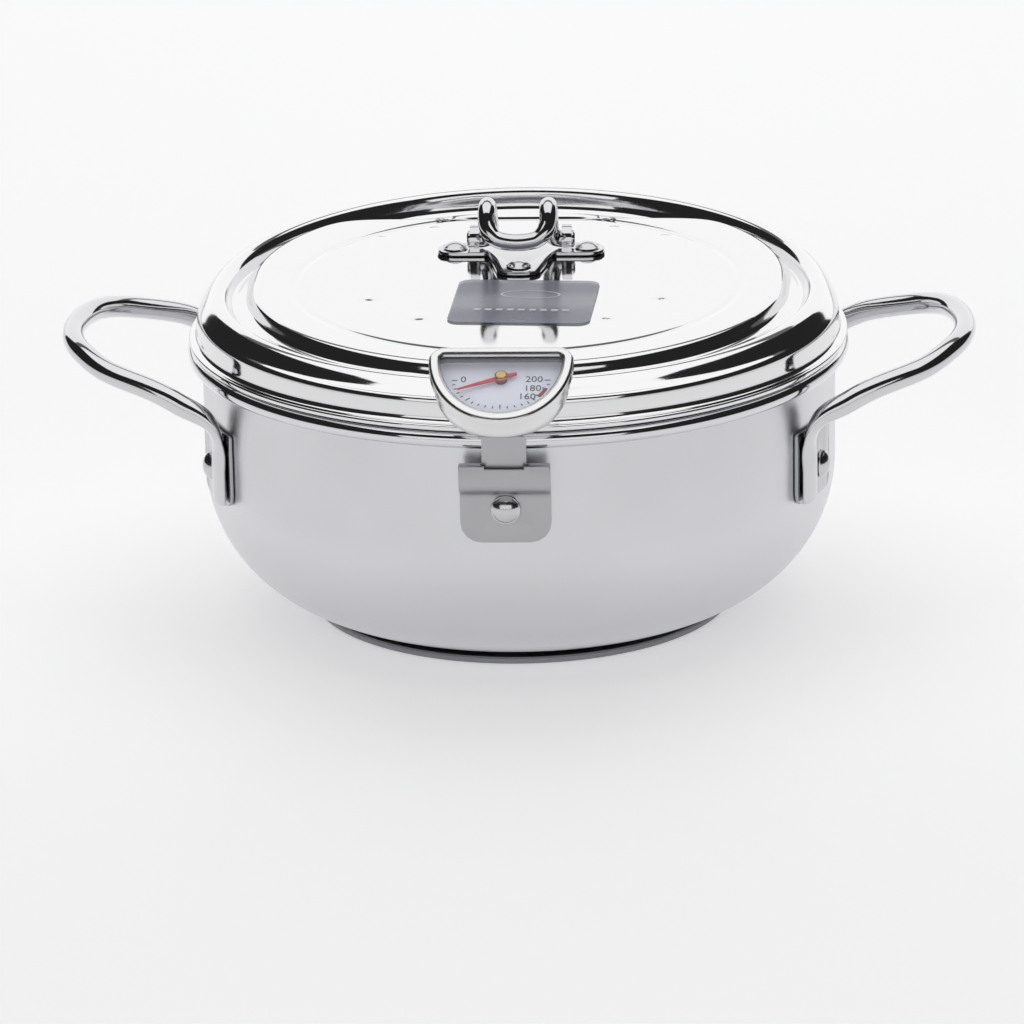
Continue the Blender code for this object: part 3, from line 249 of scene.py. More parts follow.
@dataclass(frozen=True)
class RimmedSteel(Finish):
    """Satin steel whose rolled rim was buffed: the roughness drops above a height.

    Attributes:
        rim_start: height at which the buffing starts.
        blend: height over which it takes over.
        rim_share: the rim's roughness against the wall's.
        fade: power by which the hairlines fade faster than the roughness.
    """

    rim_start: float = 82.6 * MM
    blend: float = 0.5 * MM
    rim_share: float = 0.25
    fade: float = 3.0

    def adjust(self, tree: bpy.types.NodeTree, shader: bpy.types.Node, place: bpy.types.NodeSocket) -> None:
        """Scale the roughness and the hairlines down on the rim.

        Args:
            tree: the material's node tree.
            shader: its principled shader.
            place: object coordinates.
        """
        wander = shader.inputs["Roughness"].links[0].from_socket
        split = add_node(tree, "ShaderNodeSeparateXYZ", {"Vector": place})
        share = add_node(tree, "ShaderNodeMapRange", {"Value": split.outputs["Z"], 1: self.rim_start,
                                                      2: self.rim_start + self.blend, 3: 1.0,
                                                      4: self.rim_share})
        scaled = add_node(tree, "ShaderNodeMath", {0: wander, 1: share.outputs["Result"]},
                          operation="MULTIPLY")
        tree.links.new(scaled.outputs[0], shader.inputs["Roughness"])
        bump = shader.inputs["Normal"].links[0].from_node
        flatter = add_node(tree, "ShaderNodeMath", {0: share.outputs["Result"], 1: self.fade},
                           operation="POWER")
        tree.links.new(flatter.outputs[0], bump.inputs["Strength"])


# Buffed stainless sheet: a mirror with the faint haze that a polishing wheel leaves.
MIRROR_STEEL = Finish("mirror_polished_stainless", "#E6E6E7", 0.075, spread=0.02, cloud_mm=45.0,
                      grain_mm=(1.2, 1.2, 1.2), grain_depth_mm=0.0006)
# Polished stainless wire: as bright, with short draw marks.
WIRE_STEEL = Finish("polished_stainless_wire", "#D2D2D4", 0.09, spread=0.03, cloud_mm=12.0,
                    grain_mm=(0.9, 0.9, 0.9), grain_depth_mm=0.0012)
# Satin stainless: spun round the axis, so its hairlines run level; drawn coarser than real ones to show.
SATIN_STEEL = RimmedSteel("satin_stainless", "#DCDCDF", 0.33, spread=0.04, cloud_mm=38.0,
                          grain_mm=(26.0, 26.0, 0.55), grain_depth_mm=0.0022)
# Rolled stainless strip with upright hairlines and a darker, greyer cast.
STRIP_STEEL = Finish("hairline_stainless_strip", "#B4B4B7", 0.33, spread=0.05, cloud_mm=9.0,
                     grain_mm=(0.5, 0.9, 14.0), grain_depth_mm=0.003)
# Stamped plate, tumbled bright: small soft dents in the reflection.
PLATE_STEEL = Finish("tumbled_stainless_plate", "#BEBEC1", 0.16, spread=0.05, cloud_mm=6.0,
                     grain_mm=(1.6, 1.6, 1.6), grain_depth_mm=0.004)
# Rivet heads: pressed by a die, bright and slightly uneven.
RIVET_STEEL = Finish("pressed_rivet_steel", "#CDCDCF", 0.17, spread=0.06, cloud_mm=2.5,
                     grain_mm=(0.7, 0.7, 0.7), grain_depth_mm=0.003)
# Magnetic steel disc under the bowl: turned, with fine rings that catch light.
BASE_STEEL = Finish("turned_base_steel", "#8D8D90", 0.36, spread=0.05, cloud_mm=20.0,
                    grain_mm=(0.6, 0.6, 0.6), grain_depth_mm=0.003)
# Deep-drawn case, satin from tumbling.
CASE_STEEL = Finish("drawn_stainless_case", "#E2E2E2", 0.24, spread=0.04, cloud_mm=8.0,
                    grain_mm=(0.8, 0.8, 2.4), grain_depth_mm=0.002)
# Float glass: no colour of its own, seen by its sharp highlights.
LENS_GLASS = Glass("clear_window_glass", "#F7F9FC", 0.02, metallic=0.0, spread=0.01, cloud_mm=9.0,
                   grain_mm=(4.0, 4.0, 4.0), grain_depth_mm=0.0005)
# Moulded rubber: matt, with a fine grain and no highlight.
SEAL_RUBBER = Finish("grey_seal_rubber", "#6E6E73", 0.72, metallic=0.0, spread=0.08, cloud_mm=3.0,
                     grain_mm=(0.25, 0.25, 0.25), grain_depth_mm=0.008)
# Enamelled dial: flat lilac white with a slight orange peel.
DIAL_ENAMEL = Finish("pale_dial_enamel", "#EEEEFA", 0.42, metallic=0.0, spread=0.05, cloud_mm=7.0,
                     grain_mm=(0.5, 0.5, 0.5), grain_depth_mm=0.002)
# Printing ink: half matt, a little raised, with soft edges to its highlight.
BLACK_INK = Finish("black_dial_ink", "#1C1C24", 0.5, metallic=0.0, spread=0.06, cloud_mm=1.5,
                   grain_mm=(0.2, 0.2, 0.2), grain_depth_mm=0.001)
RED_INK = Finish("red_dial_ink", "#B3202C", 0.5, metallic=0.0, spread=0.06, cloud_mm=1.5,
                 grain_mm=(0.2, 0.2, 0.2), grain_depth_mm=0.001)
WHITE_INK = Finish("white_label_ink", "#EFEFF4", 0.45, metallic=0.0, spread=0.05, cloud_mm=1.5,
                   grain_mm=(0.2, 0.2, 0.2), grain_depth_mm=0.001)
# Sprayed paint on the pointer: a soft sheen.
RED_PAINT = Finish("red_pointer_paint", "#C4202A", 0.36, metallic=0.0, spread=0.06, cloud_mm=2.0,
                   grain_mm=(0.3, 0.3, 0.3), grain_depth_mm=0.002)
# Turned brass: warm, with fine tool marks.
BRASS = Finish("turned_brass", "#C9A063", 0.24, spread=0.06, cloud_mm=1.5,
               grain_mm=(0.3, 0.3, 0.1), grain_depth_mm=0.002)
# Rolled bimetal strip: dull and brownish, with marks along its length.
BIMETAL = Finish("rolled_bimetal", "#A08C78", 0.38, spread=0.08, cloud_mm=2.0,
                 grain_mm=(0.3, 0.3, 1.5), grain_depth_mm=0.002)
# Cast plastic film: smooth, tinted and see-through.
LABEL_FILM = Film("blue_grey_film", "#A0A1B4", 0.24, metallic=0.0, spread=0.05, cloud_mm=12.0,
                  grain_mm=(1.5, 1.5, 1.5), grain_depth_mm=0.001)


# --------------------------------------------------------------------------- shaping helpers

def arc(centre: tuple[float, float], radius: float, start: float, end: float, steps: int) -> Outline:
    """Return points on a circular arc, both ends included; angles in degrees."""
    angles = [math.radians(start + (end - start) * k / steps) for k in range(steps + 1)]
    return [(centre[0] + radius * math.cos(a), centre[1] + radius * math.sin(a)) for a in angles]


def smoothstep(low: float, high: float, value: float) -> float:
    """Return 0 below low, 1 above high and a smooth value between."""
    t = min(max((value - low) / (high - low), 0.0), 1.0)
    return t * t * (3.0 - 2.0 * t)


def smooth_path(points: Sequence[Sequence[float]], samples: int) -> list[Vector]:
    """Return a Catmull-Rom curve through points.

    Args:
        points: the curve's own points, in two or three dimensions.
        samples: steps between neighbouring points.

    Returns:
        The curve's points, both ends included.
    """
    knots = [Vector(p) for p in points]
    padded = [2 * knots[0] - knots[1]] + knots + [2 * knots[-1] - knots[-2]]
    path = []
    for a, b, c, d in zip(padded, padded[1:], padded[2:], padded[3:]):
        for k in range(samples):
            t = k / samples
            path.append(0.5 * (2 * b + (c - a) * t + (2 * a - 5 * b + 4 * c - d) * t * t
                               + (3 * b - a - 3 * c + d) * t ** 3))
    path.append(knots[-1])
    return path


def spun(outline: Outline, steps: int, closed: bool = False) -> bmesh.types.BMesh:
    """Spin an outline of (radius, height) points about Z.

    Args:
        outline: the section, from axis to axis or a closed loop.
        steps: facets in the full turn.
        closed: True where the section is a loop clear of the axis.

    Returns:
        The turned shape.
    """
    bm = bmesh.new()
    verts = [bm.verts.new((radius, 0.0, height)) for radius, height in outline]
    followers = verts[1:] + (verts[:1] if closed else [])
    edges = [bm.edges.new(pair) for pair in zip(verts, followers)]
    bmesh.ops.spin(bm, geom=verts + edges, axis=UP, cent=(0.0, 0.0, 0.0), angle=math.tau, steps=steps,
                   use_merge=True)
    bmesh.ops.remove_doubles(bm, verts=bm.verts, dist=WELD)
    return bm


def lofted(rings: Sequence[Ring], wrap: bool = False) -> bmesh.types.BMesh:
    """Extrude a ring of edges from place to place.

    Args:
        rings: the places, each with the same number of points.
        wrap: True to join the last ring to the first; otherwise both ends are filled.

    Returns:
        The closed shape.
    """
    bm = bmesh.new()
    first = [bm.verts.new(point) for point in rings[0]]
    count = len(first)
    start = [bm.edges.new((first[i], first[(i + 1) % count])) for i in range(count)]
    loop, edges = first, start
    for ring in rings[1:]:
        grown = bmesh.ops.extrude_edge_only(bm, edges=edges)["geom"]
        fresh = {vert.co.to_tuple(): vert for vert in grown if isinstance(vert, bmesh.types.BMVert)}
        loop = [fresh[vert.co.to_tuple()] for vert in loop]
        for vert, point in zip(loop, ring):
            vert.co = point
        edges = [bm.edges.get((loop[i], loop[(i + 1) % count])) for i in range(count)]
    if wrap:
        bmesh.ops.bridge_loops(bm, edges=start + edges)
        return bm
    for rim in (start, edges):
        bmesh.ops.edgeloop_fill(bm, edges=rim)
    return bm


def swept(path: Sequence[Vector], section: Callable[[Vector], tuple[float, float]],
          reference: Callable[[Vector], Vector], sides: int) -> bmesh.types.BMesh:
    """Sweep an elliptical section along a path, with slightly eased ends.

    Args:
        path: the middle line.
        section: gives the two half sizes at a point.
        reference: gives the direction of the first half size at a point.
        sides: points round the section.

    Returns:
        The closed tube.
    """
    rings = []
    last = len(path) - 1
    for i, point in enumerate(path):
        tangent = (path[min(i + 1, last)] - path[max(i - 1, 0)]).normalized()
        first = reference(point)
        first = (first - tangent * first.dot(tangent)).normalized()
        second = tangent.cross(first)
        half_first, half_second = section(point)
        ring = [first * (half_first * math.cos(a)) + second * (half_second * math.sin(a))
                for a in (math.tau * (k + 0.5) / sides for k in range(sides))]
        if i in (0, last):
            inward = tangent if i == 0 else -tangent
            ease = 0.25 * min(half_first, half_second)
            eased = [point + offset * (1.0 - ease / offset.length) for offset in ring]
            full = [point + inward * ease + offset for offset in ring]
            rings += [eased, full] if i == 0 else [full, eased]
        else:
            rings.append([point + offset for offset in ring])
    return lofted(rings)


def rounded(corners: Sequence[tuple[float, float, float]], steps: int = 8) -> Outline:
    """Round each corner of an outline by its own radius.

    Args:
        corners: x, y and radius of each corner, in order.
        steps: facets in each rounding.

    Returns:
        The rounded outline.
    """
    outline: Outline = []
    count = len(corners)
    for i, (x, y, radius) in enumerate(corners):
        here = Vector((x, y))
        before = (Vector(corners[i - 1][:2]) - here).normalized()
        after = (Vector(corners[(i + 1) % count][:2]) - here).normalized()
        half = 0.5 * before.angle(after)
        centre = here + (before + after).normalized() * (radius / math.sin(half))
        first = here + before * (radius / math.tan(half)) - centre
        final = here + after * (radius / math.tan(half)) - centre
        turn = math.atan2(first.cross(final), first.dot(final))
        start = math.atan2(first.y, first.x)
        outline += arc((centre.x, centre.y), radius, math.degrees(start), math.degrees(start + turn), steps)
    return outline


def box_outline(across: tuple[float, float], along: tuple[float, float], corner: float,
                steps: int = 8) -> Outline:
    """Return a rectangle with rounded corners, from its reach along X and along Y."""
    (left, right), (front, rear) = across, along
    return rounded([(left, front, corner), (right, front, corner), (right, rear, corner),
                    (left, rear, corner)], steps)


def prism(outline: Outline, base: float, depth: float) -> bmesh.types.BMesh:
    """Extrude an outline in XY along Z.

    Args:
        outline: the outline, in order.
        base: height that it starts from.
        depth: how far it is raised.

    Returns:
        The closed solid.
    """
    bm = bmesh.new()
    face = bm.faces.new([bm.verts.new((x, y, base)) for x, y in outline])
    grown = bmesh.ops.extrude_face_region(bm, geom=[face])["geom"]
    top = [item for item in grown if isinstance(item, bmesh.types.BMVert)]
    bmesh.ops.translate(bm, verts=top, vec=(0.0, 0.0, depth))
    return bm


def eased(bm: bmesh.types.BMesh, width: float, limit: float = 30.0, segments: int = 2) -> bmesh.types.BMesh:
    """Bevel the sharp edges of a shape.

    Args:
        bm: the shape, changed in place.
        width: width of the bevel on each side of an edge.
        limit: degrees that an edge must turn by to be bevelled.
        segments: facets in the bevel.

    Returns:
        The same shape.
    """
    bmesh.ops.recalc_face_normals(bm, faces=bm.faces)
    sharp = [edge for edge in bm.edges
             if len(edge.link_faces) == 2 and edge.calc_face_angle() > math.radians(limit)]
    bmesh.ops.bevel(bm, geom=sharp, offset=width, offset_type="OFFSET", segments=segments, profile=0.5,
                    affect="EDGES", clamp_overlap=True, material=-1)
    return bm


def cleaned(node: str) -> bmesh.types.BMesh:
    """Copy a frame node's shape and merge its flat facets.

    Args:
        node: the node's name.

    Returns:
        The copy; the node itself stays as it is.
    """
    bm = bmesh.new()
    bm.from_mesh(frame["nodes"][node].data)
    bmesh.ops.remove_doubles(bm, verts=bm.verts, dist=WELD)
    bmesh.ops.dissolve_limit(bm, angle_limit=math.radians(1.0), verts=bm.verts, edges=bm.edges,
                             delimit=set())
    return bm


def joined(shapes: Sequence[bmesh.types.BMesh]) -> bmesh.types.BMesh:
    """Put several shapes in one bmesh.

    Args:
        shapes: the shapes; each is freed.

    Returns:
        The shape that holds them all.
    """
    whole = bmesh.new()
    for bm in shapes:
        mesh = bpy.data.meshes.new("part")
        bm.to_mesh(mesh)
        bm.free()
        whole.from_mesh(mesh)
        bpy.data.meshes.remove(mesh)
    return whole


def moved(bm: bmesh.types.BMesh, place: Matrix) -> bmesh.types.BMesh:
    """Move a shape by a matrix and return it."""
    bmesh.ops.transform(bm, matrix=place, verts=bm.verts)
    return bm


def lettering(text: str, size: float, depth: float) -> bmesh.types.BMesh:
    """Make plain numerals as a thin solid centred on the origin in XY.

    Args:
        text: the digits.
        size: height of the type.
        depth: thickness of the solid.

    Returns:
        The solid.
    """
    curve = bpy.data.curves.new("numeral", "FONT")
    curve.body = text
    curve.size = size
    curve.extrude = 0.5 * depth
    curve.resolution_u = 3
    curve.align_x, curve.align_y = "CENTER", "CENTER"
    holder = bpy.data.objects.new("numeral", curve)
    bpy.context.scene.collection.objects.link(holder)
    bpy.context.view_layer.update()
    evaluated = holder.evaluated_get(bpy.context.evaluated_depsgraph_get())
    mesh = bpy.data.meshes.new_from_object(evaluated)
    bm = bmesh.new()
    bm.from_mesh(mesh)
    bpy.data.objects.remove(holder, do_unlink=True)
    bpy.data.meshes.remove(mesh)
    bmesh.ops.remove_doubles(bm, verts=bm.verts, dist=0.1 * WELD)
    return bm


def make_piece(name: str, bm: bmesh.types.BMesh, finish: Finish, body: Body,
               nodes: Sequence[str] = ()) -> bpy.types.Object:
    """Turn a shape into a piece of the object.

    Args:
        name: the piece's name.
        bm: its shape, in place; it is freed.
        finish: its surface.
        body: the body that it rides on.
        nodes: the frame nodes that it stands for.

    Returns:
        The new object.
    """
    bmesh.ops.recalc_face_normals(bm, faces=bm.faces)
    if bm.calc_volume(signed=True) < 0.0:
        bmesh.ops.reverse_faces(bm, faces=bm.faces)
    mesh = bpy.data.meshes.new(name)
    bm.to_mesh(mesh)
    bm.free()
    mesh.shade_smooth()
    mesh.set_sharp_from_angle(angle=SHARP_ANGLE)
    mesh.materials.append(finish.material())
    piece = bpy.data.objects.new(name, mesh)
    bpy.context.scene.collection.objects.link(piece)
    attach(piece, body.value)
    if nodes:
        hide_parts(*nodes)
    LOG.info("%s: %d faces in %s", name, len(mesh.polygons), finish.name)
    return piece


def refine_node(node: str, name: str, width: float, finish: Finish, body: Body) -> None:
    """Stand a copy with eased edges in for a frame node.

    Args:
        node: the node's name.
        name: the piece's name.
        width: how far its edges are eased.
        finish: its surface.
        body: the body that it rides on.
    """
    make_piece(name, eased(cleaned(node), width), finish, body, [node])


def dress_node(node: str, finish: Finish) -> None:
    """Give a finish to a frame node that keeps its own shape.

    Args:
        node: the node's name.
        finish: its surface.
    """
    mesh = frame["nodes"][node].data
    mesh.materials.clear()
    mesh.materials.append(finish.material())
    LOG.info("%s keeps its shape, in %s", node, finish.name)


def node_span(node: str, axis: Vector) -> tuple[float, float]:
    """Return a node's lowest and highest reach along an axis."""
    reaches = [vert.co.dot(axis) for vert in frame["nodes"][node].data.vertices]
    return min(reaches), max(reaches)


# --------------------------------------------------------------------------- rivets

@dataclass
class Rivet:
    """A dome-headed rivet, turned about its own axis.

    Attributes:
        node: the frame node that it stands for.
        axis: the way that its domed head points.
        body: the body that it rides on.
        head: radius of the domed head.
        dome: height of the dome.
        shank: radius of the shank.
        tail: radius of the flat head.
        tail_thickness: thickness of the flat head.
    """

    node: str
    axis: Vector
    body: Body
    head: float = 4.5 * MM
    dome: float = 2.3 * MM
    shank: float = 2.0 * MM
    tail: float = 3.6 * MM
    tail_thickness: float = 1.0 * MM

    def outline(self, length: float) -> Outline:
        """Draw the half section from the tail's end at 0 up to the dome's top.

        Args:
            length: the rivet's whole length.

        Returns:
            Radius and height of each point, from axis to axis.
        """
        ball = (self.head ** 2 + self.dome ** 2) / (2.0 * self.dome)
        start = math.degrees(math.asin((ball - self.dome) / ball))
        seat = length - self.dome
        skirt = 0.12 * self.dome
        ease = 0.2 * MM
        section = [(0.0, 0.0), (self.tail - ease, 0.0), (self.tail, ease),
                   (self.tail, self.tail_thickness), (self.shank, self.tail_thickness),
                   (self.shank, seat), (self.head - ease, seat), (self.head, seat + skirt)]
        section += arc((0.0, length - ball), ball, start + 5.0, 90.0, 12)[:-1]
        return section + [(0.0, length)]

    def build(self) -> bpy.types.Object:
        """Turn the rivet and set it where its node is.

        Returns:
            The new piece.
        """
        low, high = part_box(self.node)
        bottom, top = node_span(self.node, self.axis)
        middle = 0.5 * (low + high)
        foot = middle + self.axis * (bottom - middle.dot(self.axis))
        turn = self.axis.to_track_quat("Z", "Y").to_matrix().to_4x4()
        bm = moved(spun(self.outline(top - bottom), 40), Matrix.Translation(foot) @ turn)
        return make_piece(self.node + "_fine", bm, RIVET_STEEL, self.body, [self.node])


# --------------------------------------------------------------------------- pot

@dataclass
class Bowl:
    """The drawn bowl with its rolled rim, and the disc under it.

    Attributes:
        wall: sheet thickness.
        bead: outer radius of the rolled rim's section.
        corner: outside curve between floor and wall.
        curl_end: where the rolled edge stops, in degrees round the bead.
        steps: facets in the full turn.
        disc_chamfer: chamfer on the disc's edges.
        groove_radii: rings turned in the disc's underside.
        groove: half width and depth of each ring.
    """

    wall: float = 0.8 * MM
    bead: float = 2.6 * MM
    corner: float = 46.0 * MM
    curl_end: float = -124.0
    steps: int = 240
    disc_chamfer: float = 0.5 * MM
    groove_radii: tuple[float, ...] = (14.0 * MM, 26.0 * MM, 38.0 * MM, 50.0 * MM, 62.0 * MM)
    groove: tuple[float, float] = (0.7 * MM, 0.25 * MM)

    def shell(self) -> bpy.types.Object:
        """Spin the bowl's sheet: outside, over the curl and back inside.

        Returns:
            The new piece.
        """
        low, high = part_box("pot_shell")
        curl = (high.x - self.bead, high.z - self.bead)
        inner = curl[0] - self.bead
        outer = inner + self.wall
        centre = (outer - self.corner, low.z + self.corner)
        upright = [centre[1] + (curl[1] - centre[1]) * k / 12 for k in range(1, 12)]
        outline = [(0.0, low.z), (0.35 * centre[0], low.z), (0.7 * centre[0], low.z)]
        outline += arc(centre, self.corner, -90.0, 0.0, 40)
        outline += [(outer, height) for height in upright]
        outline += arc(curl, self.bead - self.wall, 180.0, self.curl_end, 26)
        outline += arc(curl, self.bead, self.curl_end, 180.0, 34)
        outline += [(inner, height) for height in reversed(upright)]
        outline += arc(centre, self.corner - self.wall, 0.0, -90.0, 40)
        outline += [(0.5 * centre[0], low.z + self.wall), (0.0, low.z + self.wall)]
        return make_piece("bowl", spun(outline, self.steps), SATIN_STEEL, Body.POT,
                          ["pot_shell"])

    def disc(self) -> bpy.types.Object:
        """Spin the base disc with rings turned in its underside.

        Returns:
            The new piece.
        """
        low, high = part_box("base_disc")
        radius, top, ease = high.x, high.z, self.disc_chamfer
        half, depth = self.groove
        outline = [(0.0, low.z)]
        for ring in self.groove_radii:
            outline += [(ring - half, low.z), (ring - 0.4 * half, low.z + depth),
                        (ring + 0.4 * half, low.z + depth), (ring + half, low.z)]
        outline += [(radius - ease, low.z), (radius, low.z + ease), (radius, top - ease),
                    (radius - ease, top), (0.0, top)]
        return make_piece("base_plate", spun(outline, self.steps), BASE_STEEL, Body.POT,
                          ["base_disc"])

    def build(self) -> None:
        """Make the bowl and its disc."""
        self.shell()
        self.disc()


@dataclass
class SideHandles:
    """Two bent wire handles with flattened ends on riveted plates.

    Attributes:
        rod: radius of the wire.
        bead: the bowl's top over the middle of its rolled rim.
        tip_rise: the handle's tip over the middle of the rim.
        spread: each leg's distance from the handle's middle.
        leg_radius: the leg's middle from the pot's axis.
        foot: height of the legs' lower ends.
        flat: half thickness and half width of the flattened ends.
        taper: heights between which the wire becomes flat.
        leg_steps: route from the leg: outward, towards the handle's middle, up from the rim's centre.
        loop_steps: route from the tip: outward, from the leg towards the middle, and up.
        sides: points round the wire.
        samples: steps between the route's own points.
        plate_edge: rounding of the plates' edges.
    """

    rod: float = 3.5 * MM
    bead: float = 2.6 * MM
    tip_rise: float = 4.8 * MM
    spread: float = 47.0 * MM
    leg_radius: float = 104.5 * MM
    foot: float = 47.0 * MM
    flat: tuple[float, float] = (1.4 * MM, 4.4 * MM)
    taper: tuple[float, float] = (67.0 * MM, 79.0 * MM)
    leg_steps: tuple[tuple[float, float, float], ...] = (
        (0.0, 0.0, -28.0 * MM), (0.0, 0.0, -19.0 * MM), (3.2 * MM, -0.2 * MM, -11.5 * MM))
    loop_steps: tuple[tuple[float, float, float], ...] = (
        (-38.0 * MM, -1.8 * MM, -11.6 * MM), (-29.3 * MM, -4.4 * MM, -7.6 * MM),
        (-14.2 * MM, -11.5 * MM, -3.5 * MM), (-6.0 * MM, -21.5 * MM, -0.9 * MM),
        (-1.6 * MM, -33.0 * MM, -0.1 * MM))
    sides: int = 28
    samples: int = 9
    plate_edge: float = 0.22 * MM

    def route(self) -> list[Vector]:
        """Lay the right handle's middle line from its front foot to its rear foot.

        Returns:
            The line's points.
        """
        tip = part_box("side_handle_right")[1].x - self.rod
        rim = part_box("pot_shell")[1].z - self.bead
        top = rim + self.tip_rise
        leg = math.sqrt(self.leg_radius ** 2 - self.spread ** 2)
        wide = self.spread
        half = [(leg, wide, self.foot)]
        half += [(leg + out, wide + along, rim + up) for out, along, up in self.leg_steps]
        half += [(tip + out, wide + along, top + up) for out, along, up in self.loop_steps]
        front = [(x, -y, z) for x, y, z in half]
        return smooth_path(front + [(tip, 0.0, top)] + half[::-1], self.samples)

    def section(self, point: Vector) -> tuple[float, float]:
        """Work out how flat the wire is at a point.

        Args:
            point: a point of the middle line.

        Returns:
            The wire's half thickness and half width.
        """
        share = smoothstep(self.taper[0], self.taper[1], point.z)
        thick, wide = self.flat
        return thick + (self.rod - thick) * share, wide + (self.rod - wide) * share

    def build(self) -> None:
        """Sweep both handles and make their plates and rivets."""
        def away(point: Vector) -> Vector:
            """Return the direction of the wire's flat side."""
            return Vector((point.x, point.y, 0.0)).normalized() - UP

        for side, turn in (("right", 0.0), ("left", math.pi)):
            bm = moved(swept(self.route(), self.section, away, self.sides), Matrix.Rotation(turn, 4, "Z"))
            make_piece("handle_wire_" + side, bm, WIRE_STEEL, Body.POT,
                       ["side_handle_" + side])
            for end in ("front", "rear"):
                plate = f"handle_plate_{side}_{end}"
                refine_node(plate, plate + "_fine", self.plate_edge, PLATE_STEEL, Body.POT)
                rivet = f"handle_rivet_{side}_{end}"
                low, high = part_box(rivet)
                middle = 0.5 * (low + high)
                Rivet(rivet, Vector((middle.x, middle.y, 0.0)).normalized(), Body.POT).build()


@dataclass
class Holder:
    """The riveted plate whose pocket carries the thermometer's strip.

    Attributes:
        edge: rounding of the plate's edges.
        step: heights between which the plate steps forward.
        bend: reach of each of the step's two bends.
    """

    edge: float = 0.25 * MM
    step: tuple[float, float] = (68.2 * MM, 71.4 * MM)
    bend: float = 1.9 * MM

    def plate(self) -> bmesh.types.BMesh:
        """Bend the plate's step softly and ease its edges.

        Returns:
            The plate's shape.
        """
        bm = cleaned("thermometer_holder")
        creases = [edge for edge in bm.edges
                   if any(all(abs(vert.co.z - height) < 0.02 * MM for vert in edge.verts)
                          for height in self.step)]
        bmesh.ops.bevel(bm, geom=creases, offset=self.bend, offset_type="OFFSET", segments=6, profile=0.5,
                        affect="EDGES", clamp_overlap=True, material=-1)
        return eased(bm, self.edge)

    def build(self) -> None:
        """Make the plate and its rivet."""
        make_piece("holder_plate", self.plate(), STRIP_STEEL, Body.POT,
                   ["thermometer_holder"])
        Rivet("holder_rivet", Vector((0.0, -1.0, 0.0)), Body.POT).build()


# --------------------------------------------------------------------------- lid

@dataclass
class Rib:
    """A long bead pressed up in the lid.

    Attributes:
        x: its place across.
        front: middle of its round front end.
        rear: middle of its round rear end.
        half_width: middle to foot.
        height: flat top over the sheet.
        ramp: foot to flat top.
    """

    x: float
    front: float
    rear: float
    half_width: float = 3.5 * MM
    height: float = 0.42 * MM
    ramp: float = 2.4 * MM

    def lift(self, x: float, y: float) -> float:
        """Work out how far this rib raises the sheet at a place.

        Args:
            x: the place across.
            y: the place along.

        Returns:
            The rise: none outside the foot, steepest there, and level on the top.
        """
        past = max(self.front - y, y - self.rear, 0.0)
        reach = math.hypot(x - self.x, past)
        down = min(max((reach - self.half_width + self.ramp) / self.ramp, 0.0), 1.0)
        return self.height * (1.0 - down * down)


